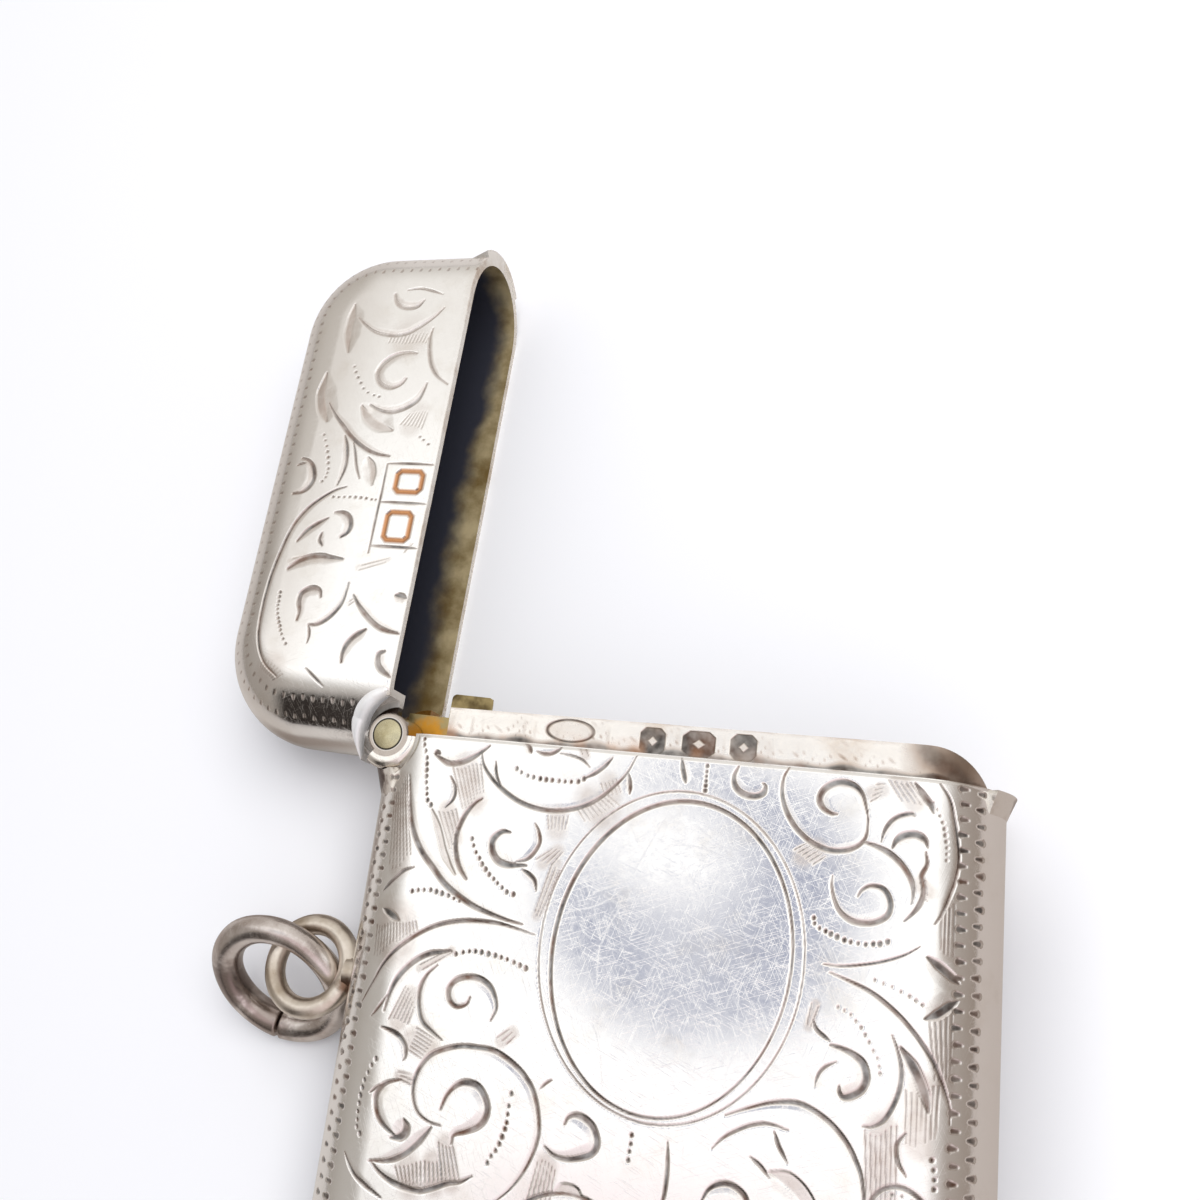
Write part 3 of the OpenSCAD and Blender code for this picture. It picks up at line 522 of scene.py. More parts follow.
# Zones of shading lines: the two ends of their start, the two ends of their end, and their count
FRONT_HATCH = [
    ((14.1, 5.4), (15.4, 6.2), (14.5, 2.7), (15.4, 2.7), 10),
    ((13.2, 2.3), (14.9, 2.6), (13.3, -0.2), (14.8, 0.1), 9),
    ((11.5, 0.3), (13.1, 0.5), (11.8, -3.9), (13.2, -3.6), 10),
    ((-5.8, 12.9), (-4.4, 13), (-5.6, 12.1), (-4.5, 12.2), 7),
    ((-5.2, 10.5), (-4.4, 10.3), (-5.8, 7.6), (-5.3, 7.5), 5),
    ((-11.85, 15.1), (-9.9, 15.35), (-10.75, 12.6), (-9.5, 13.75), 12),
    ((-12.3, 12.5), (-11, 12.75), (-11.1, 10.2), (-10.75, 12), 10),
    ((-15.5, 13.5), (-14.5, 14.3), (-14.9, 8.9), (-13.2, 9.4), 12),
    ((-15.1, 5.9), (-12.4, 6.35), (-14.9, 4), (-12.2, 5.9), 16),
    ((-12, 4.2), (-11.7, 3.65), (-10.2, 5.3), (-10, 4.95), 6),
    ((-13.3, 1), (-11.9, 1), (-12.5, 3.1), (-11.7, 1.9), 9),
    ((-11.5, 1), (-11.7, -0.4), (-10.3, 0.6), (-10.9, -0.7), 9),
    ((-7, 1.2), (-6.2, 0.8), (-6.3, 1.8), (-5.8, 1.3), 6),
    ((-9.4, -4.3), (-8.4, -4.4), (-8.9, -6.3), (-7.7, -6), 10),
    ((-11.6, -6), (-10, -5.5), (-11.2, -6.75), (-9.8, -6.7), 10),
    ((-12.2, -1.35), (-11.9, -1.9), (-11.3, -1.3), (-11.2, -2.1), 6),
    ((11.7, 16.6), (13, 16.5), (12.4, 15.5), (13.9, 15.4), 10),
    ((11, 15.2), (11.3, 16.4), (11.5, 15.6), (11.7, 16.4), 6),
    ((14.5, 10.4), (15.3, 11.2), (14.5, 8.6), (15.3, 8.4), 7),
    ((-4.6, 16.95), (-3.9, 16.9), (-4.3, 16.4), (-3.6, 16.3), 6),
    ((-3, 14.9), (-2, 15.3), (-2.7, 14.2), (-1.6, 14.5), 6),
    ((-6.2, 10.5), (-5, 10.2), (-5.2, 11.2), (-4.5, 11), 8),
    ((13.5, 12.2), (13.6, 10.9), (13.85, 11.9), (13.9, 10.7), 6),
    ((-4.3, -6.2), (-2.9, -6.2), (-3.9, -4.1), (-2.8, -4.3), 9),
    ((-10, -5.4), (-8.9, -5.2), (-9.8, -6.7), (-8.6, -6.3), 7),
    ((-4.2, 13.4), (-2.4, 14.4), (-3.6, 12.7), (-1.6, 13.9), 9),
    ((8.7, 5.4), (9.4, 5.3), (8.6, 4.2), (9, 4.3), 5), ((7.4, 12.6), (8.6, 11.9), (8, 13), (9.2, 12.4), 6)]
# The same for the lid's front: q here is the height above the rim
LID = [
    (0.24, [(-10.2, 7.4), (-9.6, 7.37), (-9, 7.55), (-8.5, 7.5), (-8.15, 7.1), (-8.05, 6.6), (-8.2, 6.2),
            (-8.6, 6.05)]),
    (0.12, [(-11.6, 6.3), (-11, 6.3), (-10.45, 6.5)]),
    (0.17, [(-10.45, 6.5), (-10.4, 6), (-10.15, 5.5), (-9.7, 5), (-9.1, 4.6), (-8.5, 4.4), (-7.5, 4.3)]),
    (0.15, [(-13.9, 8), (-13, 9.2), (-11.5, 9.95), (-9.5, 10.2), (-7.5, 10.1), (-5.5, 9.7), (-4, 9.25),
            (-2.9, 8.6), (-2.1, 7.8), (-1.4, 6.8), (-1.1, 6)]),
    (0.26, [(-6.9, 8.9), (-6.4, 8.3), (-6.05, 7.6), (-5.9, 6.8), (-5.95, 6), (-6, 5.1)]),
    (0.18, [(-5, 8.7), (-4.3, 8.2), (-3.8, 7.6), (-3.3, 6.8)]),
    (0.24, [(-4.55, 5.6), (-4.2, 5.2), (-3.7, 5.1), (-3.2, 5.3), (-2.9, 5.8), (-2.9, 6.4)]),
    (0.14, [(-5.2, 6.8), (-4.8, 7.1), (-4.3, 7)]),
    (0.24, [(-12.6, 3.65), (-12, 3.7), (-11.4, 3.5), (-10.9, 3.1), (-10.6, 2.7), (-10.4, 2.4)]),
    (0.22, [(-10.5, 0.1), (-10.4, 0.9), (-10.2, 1.6), (-9.7, 2.4), (-9, 3.2), (-8.3, 3.8)]),
    (0.26, [(-13.2, 0.1), (-12.9, 0.7), (-12.5, 1.1), (-11.9, 1.2), (-11.65, 0.8)]),
    (0.24, [(-8.2, 0.1), (-8.1, 0.5), (-8.1, 0.9)]),
    (0.1, [(-14.2, 4.6), (-13.7, 5.3), (-13.2, 6)]),
    (0.11, [(-5.5, 3.4), (-3.5, 3.42), (-1.5, 3.4), (0.6, 3.4)]),
    (0.11, [(-5, 0.1), (-5, 1.8), (-5, 3.4)]),
    (0.1, [(-2.05, 0.1), (-2.05, 1.8), (-2.03, 3.4)]),
    (0.1, [(0.6, 0.1), (0.62, 1.8), (0.6, 3.4)]),
    (0.22, [(-1.75, 9.9), (-1.6, 9.2), (-1.2, 8.75), (-0.6, 8.55), (0.1, 8.75), (0.6, 9.2), (0.8, 9.8)]),
    (0.1, [(0.3, 10.1), (0.4, 9.7), (0.45, 9.4)]),
    (0.15, [(-1, 6.7), (0, 6.45), (0.9, 6.45), (1.8, 6.65), (2.5, 6.95)]),
    (0.1, [(-0.5, 5.2), (0.3, 5.6), (1.2, 5.9), (2, 6.2)]),
    (0.2, [(1.1, 3.4), (1.2, 4.2), (1.45, 5), (1.9, 5.8), (2.5, 6.6), (3.2, 7.3), (3.9, 8), (4.8, 8.7)]),
    (0.22, [(4.7, 5.6), (4.35, 4.9), (4.2, 4.2), (4.3, 3.5), (4.6, 2.8), (5.1, 2.2), (5.7, 1.95),
            (6.3, 1.8)]),
    (0.26, [(6.6, 3.4), (6.2, 3.7), (5.95, 4.3), (6.05, 4.9), (6.4, 5.35), (7, 5.6), (7.6, 5.4), (8.1, 4.9),
            (8.4, 4.3), (8.5, 3.6), (8.45, 3)]),
    (0.2, [(11.2, 8), (10.6, 7.3), (10.1, 6.5), (9.85, 5.6), (9.8, 4.8), (9.95, 4), (10.3, 3.4), (10.7, 2.8),
           (11.2, 2.2), (11.8, 1.7)]),
    (0.26, [(12.9, 5.6), (12.4, 5.4), (12, 5), (11.85, 4.4), (11.95, 3.7), (12.4, 3.3)]),
    (0.14, [(13.2, 4.7), (13.3, 3.8), (13.1, 2.9), (12.8, 2)]),
    (0.15, [(6.2, 0.3), (6.8, 1.2), (7.6, 1.8), (8.6, 2.15), (9.6, 2.3), (10.3, 2.2)]),
]
# Broad soft strokes of painted shade on the ground beside the leaves
LID_PAINTED_SHADE = [
    (0.5, [(4.6, 6.2), (3.9, 5.7), (3.4, 5.1), (3.1, 4.4), (2.9, 3.6)]),
    (0.4, [(8.6, 8.2), (10, 8.5), (11.2, 8.5), (12.2, 8.5)]),
    (0.5, [(3.5, 8.6), (4.3, 9.1), (5.5, 9.5), (7, 9.45)]),
    (0.3, [(-0.9, 4.2), (0.2, 4.4), (1, 4.9)]),
]
LID_DOTS = [
    [(-11.8, 7.8), (-11.5, 8.05), (-11.2, 8.25), (-10.95, 8.4), (-10.7, 8.5), (-10.45, 8.65), (-10.2, 8.75),
     (-9.9, 8.88), (-9.6, 8.95), (-9.35, 9), (-9.1, 9), (-8.8, 9.03), (-8.5, 9.05)],
    [(-1.85, 6.8), (-1.85, 6.4), (-1.82, 6), (-1.8, 5.6), (-1.8, 5.2), (-1.82, 4.8), (-1.85, 4.4), (-1.9, 4),
     (-1.9, 3.7)],
    [(-0.8, 7.9), (-0.5, 7.7), (-0.2, 7.65), (0.1, 7.65), (0.5, 7.75), (0.9, 7.85), (1.3, 8), (1.7, 8.15),
     (2.1, 8.35), (2.5, 8.55)],
    [(5.3, 5.1), (5.4, 5.5), (5.6, 6), (5.9, 6.4), (6.3, 6.7), (6.7, 7), (7.1, 7.25), (7.5, 7.45)],
    [(2, 0.8), (2.3, 1.2), (2.5, 1.5)],
]
LID_HATCH = [
    ((-9.1, 4), (-8.6, 4), (-8.7, 3.5), (-8.3, 3.7), 5),
    ((-6.8, 3.9), (-6.2, 3.8), (-6.1, 2), (-5.6, 1.8), 7),
    ((-6.8, 8.9), (-6, 8.8), (-6.3, 8.2), (-5.7, 7.2), 6),
    ((-14.3, 8.2), (-13.4, 9.4), (-13.8, 7.4), (-12.6, 9.3), 8),
    ((-5.4, 1), (-5, 0.6), (-4.9, 0.8), (-4.6, 0.3), 4), ((9.2, 2.4), (9.2, 5.4), (9.9, 2.2), (10, 5.2), 12),
    ((3, 1.4), (3.4, 3.2), (4.3, 1.2), (4.2, 2.6), 7)]
# Scrolls: x, y, size, turn and hand
FRONT_SCROLLS = [
    (-9.5, -10.6, 1.6, 2.6, -1), (-2.0, -8.6, 2.0, 0.3, 1), (4.5, -9.8, 1.7, 1.9, -1),
    (10.0, -8.2, 2.2, 1.2, 1), (13.2, -3.6, 1.0, 2.4, -1)]
BACK_SCROLLS = [
    (-10.5, 11.5, 2.2, 0.4, 1), (-9.8, 4.2, 1.9, 2.2, -1), (-10.2, -3.0, 2.2, 1.0, 1),
    (-8.5, -8.8, 1.9, 2.9, -1), (12.2, 11.3, 1.7, 2.6, -1), (12.3, 4.0, 1.5, 0.6, 1),
    (11.0, -3.5, 2.2, 2.0, -1), (8.3, -9.2, 1.9, 0.2, 1), (0.5, -6.0, 2.0, 1.5, 1),
    (-4.2, 14.6, 1.0, 3.4, 1), (8.6, 14.9, 1.0, 5.6, -1)]
LID_BACK_SCROLLS = [
    (-9.5, 5.2, 2.0, 0.3, 1), (-3.6, 4.6, 1.7, 2.6, -1), (3.4, 5.0, 1.9, 0.8, 1), (9.6, 4.8, 2.0, 2.4, -1)]
# Bare frames by the lid's rim: two corners of each
LID_FRAMES = [(-4.55, 0.9, -2.7, 2.6), (-1.3, 0.7, 0.1, 2.5)]


def oval(x, y, rx, ry, lean):
    """Line round an upright oval that leans by a little to the right."""
    g = np.linspace(0, 2 * math.pi, 49)
    return curve(np.stack([x + rx * np.cos(g) + lean * np.sin(g), y + ry * np.sin(g)], -1), 3)


def body_design(ps, qs, front):
    """Depth and ink of the body's engraving: two punched borders, the cartouche's two lines, and either the
    front's strokes, with painted shade in the leaves' hollows, or the back's scrolls."""
    field = (np.zeros((len(qs), len(ps))), np.zeros((len(qs), len(ps))))
    args = (field, ps, qs)
    for away, pitch, inside in ((2.5, 0.75, False), (3.42, 0.80, True)):
        border(*args, BASE, MOUTH, away, pitch, along=0.40, across=0.31, inside=inside)
    # The cartouche's bold line, widest at its upper left, and its thin line
    bold, thin = oval(1.66, 6.6, 6.13, 7.83, 0.5), oval(1.6, 6.72, 6.8, 8.22, 0.3)
    carve(*args, bold, 0.10 + 0.035 * np.cos(np.linspace(0, 2 * math.pi, len(bold)) - 2.4), dark=0.95)
    carve(*args, thin, np.full(len(thin), 0.055), dark=0.85)
    if not front:
        for place in BACK_SCROLLS:
            scroll(*args, *place)
        return field
    for width, points in FRONT:
        stroke(*args, points, width)
    # Painted shade in the hollows of the leaves
    for width, points in FRONT_PAINTED_SHADE:
        stroke(*args, points, width, dark=0.4)
    for points in FRONT_DOTS:
        dots(*args, points)
    for points in FRONT_FINE_DOTS:
        dots(*args, points, size=0.17, dark=0.7)
    for zone in FRONT_HATCH:
        hatch(*args, *zone)
    for place in FRONT_SCROLLS:
        scroll(*args, *place)
    return field


def lid_design(ps, hs, front):
    """Depth, ink and rust of the lid's engraving: two punched borders, and either the front's strokes,
    fainter away from the hinge, with painted shade on the ground beside the leaves, and two bare frames,
    or the back's scrolls."""
    field = (np.zeros((len(hs), len(ps))), np.zeros((len(hs), len(ps))))
    rust = np.zeros((len(hs), len(ps)))
    args = (field, ps, hs)
    upside_down = (tuple(f[::-1] for f in field), ps, -hs[::-1])
    for away, inside in ((1.95, False), (3.15, True)):
        border(*upside_down, -LID_H, 0.0, away, pitch=0.7, along=0.27, across=0.22,
               inside=inside, dark=0.6, steep=0.2)
    if not front:
        for place in LID_BACK_SCROLLS:
            scroll(*args, *place)
        return field + (rust,)
    for width, points in LID:
        far = max(0.0, min(1.0, (points[0][0] - 0.5) / 6))
        stroke(*args, points, width * (1.2 - 0.1 * far), start=0.4, end=0.3, dark=0.9 - 0.3 * far, shade=0.3)
    # Painted shade on the ground beside the leaves
    for width, points in LID_PAINTED_SHADE:
        stroke(*args, points, 1.3 * width, dark=0.5)
    for points in LID_DOTS:
        dots(*args, points, size=0.2, dark=0.8)
    for zone in LID_HATCH:
        hatch(*args, *zone, dark=0.38)
    # Each frame has cut corners, a broad rusty line and a thin dark one on it
    cut = 0.25
    for x0, y0, x1, y1 in LID_FRAMES:
        box = np.array([(x0 + cut, y0), (x1 - cut, y0), (x1, y0 + cut), (x1, y1 - cut), (x1 - cut, y1),
                        (x0 + cut, y1), (x0, y1 - cut), (x0, y0 + cut), (x0 + cut, y0)])
        carve((field[0], rust), ps, hs, box, np.full(len(box), 0.24), dark=0.95, steep=0.25)
        carve(*args, box + np.array([0.03, -0.03]), np.full(len(box), 0.09), dark=0.5, steep=0.4)
    return field + (rust,)


def scratches(ps, qs, count, seed, middle, spread):
    """Fine rubbed lines of random place, length and bend, thickest about a middle point."""
    rng = np.random.default_rng(seed)
    rub = np.zeros((len(qs), len(ps)))
    spare = np.zeros_like(rub)
    t = np.linspace(-0.5, 0.5, 7)
    for _ in range(count):
        x, y = rng.normal(middle, spread)
        turn, length, bend = rng.uniform(0, math.pi), rng.gamma(2.0, 0.7), rng.normal(0, 0.25)
        c, s = math.cos(turn), math.sin(turn)
        u, v = t * length, bend * length * t * t
        line = np.stack([x + u * c - v * s, y + u * s + v * c], -1)
        carve((spare, rub), ps, qs, line, np.full(len(t), 0.04), rng.uniform(0.04, 0.28), 0.0)
    return rub


def spaced(low, high, fine_low, fine_high, fine, coarse):
    """Row of values, close together between two of them and wider apart outside."""
    a = np.arange(low, fine_low, coarse)
    b = np.arange(fine_low, fine_high, fine)
    c = np.linspace(fine_high, high, max(2, int((high - fine_high) / coarse) + 1))
    return np.concatenate([a, b, c])


def skin(name, lid, front, fine, coarse, tiles):
    """Engraved skin over a shell's outside: the sheet lifted along its normals, less the depth of the
    engraving. It sinks into the shell at the rim and round the hinge, where the shell itself shows."""
    ps = spaced(-SIDE_P, SIDE_P, -DRAWN_P, DRAWN_P, fine, coarse)
    if lid:
        hs = spaced(0.0, LID_H - EDGE + QUARTER, 0.01, DRAWN_H, fine, coarse)
        depth, ink, rust = lid_design(ps, hs, front)
        rub = scratches(ps, hs, count=120, seed=9, middle=(0.0, 6.0), spread=(9.0, 4.0))
        p, h = np.meshgrid(ps, hs)
        points, normals, away = sheet(p, -h, -LID_H)
        points[..., 1] = MOUTH + SEAM - points[..., 1] - SEAM * np.clip(h / 4, 0, 1)
        normals[..., 1] *= -1
        rim, notch = h, LID_NOTCH
    else:
        qs = spaced(BASE + EDGE - QUARTER, MOUTH, DRAWN_Q, MOUTH - 0.01, fine, coarse)
        depth, ink = body_design(ps, qs, front)
        rub = scratches(ps, qs, count=260 if front else 160, seed=4, middle=(2.5, 7.5), spread=(5.5, 6.0))
        p, q = np.meshgrid(ps, qs)
        points, normals, away = sheet(p, q, BASE)
        rim, notch = MOUTH - q, BODY_NOTCH
    if not front:
        points[..., 2] = CASE_T - points[..., 2]
        normals[..., 2] *= -1
    r = np.hypot(points[..., 0] - PIN[0], points[..., 1] - PIN[1])
    lift = np.minimum(LIFT - depth, np.minimum(rim * 0.5 - 0.03, (r - notch) * 0.5 - 0.1))
    points = points + normals * lift[..., None]
    if lid:
        points = opened(points)
    turned = front == lid
    shade = grid_normals(points, turned)
    keep = all_corners((r > notch) & (away < QUARTER + 0.3))
    values = {"ink": ink, "stain": np.clip(1 - rim / 0.4, 0, 1) * 0.12, "rub": rub}
    if lid:
        values["rust"] = rust
        values["stain"] = np.maximum(values["stain"], 0.25 * np.clip((h - 5.0) / 3.5, 0, 1))
    rows = np.linspace(0, len(points) - 1, tiles + 1).astype(int)
    for k, (a, b) in enumerate(zip(rows[:-1], rows[1:])):
        part = np.s_[a:b + 1]
        mesh_piece("%s_%d" % (name, k + 1), points[part], shade[part], SILVER,
                   "lid" if lid else "case", keep[a:b], turned, {key: v[part] for key, v in values.items()})


def lining(name, lid, front):
    """Gilt inside of a shell: the sheet set in by a little more than the metal's thickness."""
    top = LID_H - EDGE + QUARTER if lid else MOUTH - BASE - EDGE + QUARTER
    p, h = np.meshgrid(np.linspace(-SIDE_P, SIDE_P, 121), np.linspace(0.05, top, 81))
    points, normals, away = sheet(p, -h, -LID_H if lid else BASE - MOUTH)
    points[..., 1] = MOUTH - points[..., 1] if lid else MOUTH + points[..., 1]
    if lid:
        normals[..., 1] *= -1
    if not front:
        points[..., 2] = CASE_T - points[..., 2]
        normals[..., 2] *= -1
    clear = 0.015
    points = points - normals * (WALL + clear)
    r = np.hypot(points[..., 0] - PIN[0], points[..., 1] - PIN[1])
    keep = all_corners((r > LID_NOTCH) & (away < QUARTER + 0.3))
    if lid:
        points = opened(points)
    # Depth inside the case that the gilding's painted shade follows: deeper past p = 2 and shallower below p
    # = -10
    painted_shade_depth = h + 0.7 * np.clip((p - 2) / 6, 0, 1) - 0.7 * np.clip((-10 - p) / 5, 0, 1)
    mesh_piece(name, points, None, GILT, "lid" if lid else "case", keep, front != lid,
               {"painted_shade_depth": painted_shade_depth})


def collar_skin():
    """Front of the collar that stands out of the mouth, with blank punched marks and brown dirt along its
    foot. Its section follows the collar's round end, and its top edge falls along the rounded corner."""
    # Radius of the round end, height above the mouth, radius of the top corner, and where the end starts
    edge, rise, turn, straight = EDGE - WALL - SOLDER - COLLAR_GAP, 1.8, 3.0, 13.1
    p, t = np.meshgrid(np.arange(-12.68, straight + edge * 1.5, 0.05), np.linspace(0.01, 0.99, 61))
    angle = np.clip((p - straight) / edge, 0, None)
    x = np.minimum(p, straight) + edge * np.sin(angle)
    over = np.clip(x - (straight + edge - turn), 0, turn)
    top = np.maximum(rise - turn + np.sqrt(turn ** 2 - over ** 2), 0)
    q = t * top

    # Blank marks: centre, half width, half height, and how square they are
    depth, ink = np.zeros_like(p), np.zeros_like(p)
    for cx, cy, w, h, power in ((-5.25, 0.98, 1.45, 0.66, 2.0), (-0.5, 0.80, 0.72, 0.74, 5.0),
                                (2.05, 0.84, 0.90, 0.70, 5.0), (4.45, 0.86, 0.70, 0.70, 5.0)):
        inside = np.abs((p - cx) / w) ** power + np.abs((q - cy) / h) ** power
        cornered = np.abs((p - cx) / w) + np.abs((q - cy) / h)
        shape = np.clip((1.08 - inside) / 0.16, 0, 1) * np.clip((1.62 - cornered) / 0.08, 0, 1)
        if power < 3:
            blank = np.clip((0.86 - inside) / 0.2, 0, 1)
        else:
            blank = 0.85 * np.clip((0.42 - cornered) / 0.12, 0, 1)
        depth += 0.045 * shape * (1 - 0.8 * blank)
        ink = np.maximum(ink, shape * (0.95 - 0.8 * blank))
    points = np.stack([x, MOUTH + q, EDGE + edge * np.cos(angle)], -1)
    normals = np.stack([np.sin(angle), 0 * p, np.cos(angle)], -1)
    points = points + normals * (0.05 - depth)[..., None]

    # Dirt along the foot, in specks and in smears; darker along the crown and towards the round end
    wave = 0.5 + 0.5 * np.sin(2.1 * p) * np.sin(0.73 * p + 1.0)
    foot = np.clip(1.6 - q / (0.22 + 0.22 * wave), 0, 1)
    crown = np.clip(1 - (top - q) / (0.10 + 0.22 * (1 - wave)), 0, 1)
    speck = np.clip(np.sin(9.7 * p + 3 * np.sin(2.3 * p)) * np.sin(5.1 * p + 8 * q) - 0.45, 0, 1) * 1.8
    smear = np.clip(np.sin(6.3 * p + 2 * np.sin(1.7 * p)) * np.sin(1.9 * p + 0.5) - 0.35, 0, 1)
    dusk = np.clip((p - 12.2) / 1.3, 0, 1) * np.clip((17.6 - p) / 1.4, 0.3, 1)
    for darkening in (foot * (0.65 + 0.3 * wave), 0.55 * crown * wave,
                 0.8 * speck * np.clip(1.2 - q / (0.5 + 1.2 * wave), 0, 1),
                 0.45 * smear * np.clip(1 - (q - 0.5) ** 2, 0, 1) * np.clip((8 - p) / 3, 0, 1),
                 0.78 * dusk * (0.75 + 0.25 * np.sin(1.7 * p + 2.6 * q))):
        ink = np.maximum(ink, darkening)
    stain = 0.12 * wave * np.exp(-((q - 1.2) / 0.5) ** 2) + 0.6 * np.clip((p - 12.3) / 2, 0, 1)
    blotch = np.sin(1.13 * p + 0.4) * np.sin(0.61 * p - 0.7) + 0.5 * np.sin(3.9 * p) * np.sin(4 * q) - 0.1
    rust = 0.55 * np.clip(blotch, 0, 1) * np.clip(1.1 - q / 0.9, 0, 1) * np.clip((7 - p) / 3, 0.05, 1)
    mesh_piece("collar_front_skin", points, grid_normals(points), COLLAR, "case",
               values={"ink": ink, "stain": np.clip(stain, 0, 0.85), "rust": rust})


def scoop_lip():
    """Rounded lip of the lid's scoop, swept round the pin. Its section climbs from the scoop's floor to a
    broad crest, level with the ear, and falls to the lid's own surface; it narrows to both ends."""
    start, end, outer = math.radians(93), math.radians(212), 2.80
    u, v = np.meshgrid(np.linspace(start, end, 121), np.linspace(0, 1, 41), indexing="ij")
    t = (u - start) / (end - start)
    wide = np.sin(math.pi * np.clip(0.12 + 0.87 * t, 0, 1)) ** 0.6
    inner = outer - 0.98 * wide
    x = np.clip(PIN[0] + outer * np.cos(u - OPEN), -CASE_W / 2 + 0.05, -(CASE_W / 2 - EDGE))
    face = EDGE + np.sqrt(np.maximum(EDGE ** 2 - (x + CASE_W / 2 - EDGE) ** 2, 0))
    crest = np.maximum(face + 0.10, 8.45 - 1.9 * t ** 3)
    foot = np.where(v < 0.5, crest - 0.9 * wide, face - 0.08)
    dome = np.sin(math.pi * v) ** 0.35 * np.clip(t / 0.05, 0, 1) ** 0.5
    r = inner + (outer - inner) * v
    points = np.stack([PIN[0] + r * np.cos(u), PIN[1] + r * np.sin(u), foot + (crest - foot) * dome], -1)
    mesh_piece("lid_scoop_lip", points, None, LIP, "lid")


def chain_ring():
    """Loose ring: a circle of the wire's radius carried round the ring, closed at the cut, sloped and set in
    the eye. The wire is fuller on its inner side, apart from where it has worn in the eye."""
    radius, wire, fuller, cut = 3.95, 0.785, 0.2, 0.18
    slope, cut_at, worn_at = math.radians(43), math.radians(258), math.radians(20)
    # The eye's radius, half its wire, its sink in the side and its place, and the ring's place from it
    eye_r, eye_wire, sink, eye_y, out, down, rest = 2.45, 0.62, 0.08, 2.85, 2.67, 1.165, 0.79
    eye_x = -CASE_W / 2 + sink - eye_wire - eye_r
    centre = np.array([eye_x - out, eye_y - down, radius * math.sin(slope) + rest])
    u = cut_at + np.linspace(cut / 2 / radius, 2 * math.pi - cut / 2 / radius, 241)
    u, v = np.meshgrid(u, np.linspace(0, 2 * math.pi, 49), indexing="ij")
    more = wire * fuller * np.clip(0.55 - 0.8 * np.cos(u - worn_at), 0, 1)
    r = wire * (1 + 0.012 * np.sin(3 * u) + 0.008 * np.sin(7 * u + 2 * v)) + more
    r[[0, -1]] *= 0.9
    reach = radius - more + r * np.cos(v)
    ring = np.stack([reach * np.cos(u), reach * np.sin(u), r * np.sin(v)], -1)
    ends = np.repeat(ring[[0, -1]].mean(1, keepdims=True), ring.shape[1], 1)
    x, y, z = np.moveaxis(np.concatenate([ends[:1], ring, ends[1:]]), -1, 0)
    c, s = math.cos(slope), math.sin(slope)
    ring = np.stack([x, c * y - s * z, s * y + c * z], -1) + centre
    ob = mesh_piece("chain_ring", ring, None, RING, "ring", flip=True)
    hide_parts("suspension_ring")


skin("body_front_skin", lid=False, front=True, fine=0.06, coarse=0.12, tiles=5)
skin("lid_front_skin", lid=True, front=True, fine=0.06, coarse=0.12, tiles=3)
skin("body_back_skin", lid=False, front=False, fine=0.11, coarse=0.2, tiles=2)
skin("lid_back_skin", lid=True, front=False, fine=0.11, coarse=0.2, tiles=1)
lining("lid_front_lining", lid=True, front=True)
lining("lid_back_lining", lid=True, front=False)
lining("body_front_lining", lid=False, front=True)
lining("body_back_lining", lid=False, front=False)
collar_skin()
scoop_lip()
chain_ring()

for names, mat in ((("body_front_shell", "body_back_shell", "collar"), PLAIN),
                   (("lid_front_shell",), SCOOP), (("lid_back_shell",), RIM),
                   (("front_hinge_knuckle", "back_hinge_knuckle"), KNUCKLE),
                   (("striker", "ring_eye"), EYE), (("lid_knuckle",), OLIVE), (("hinge_pin",), BRASS),
                   (("lid_spring",), STEEL)):
    for n in names:
        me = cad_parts[n].data
        me.materials.clear()
        me.materials.append(mat)


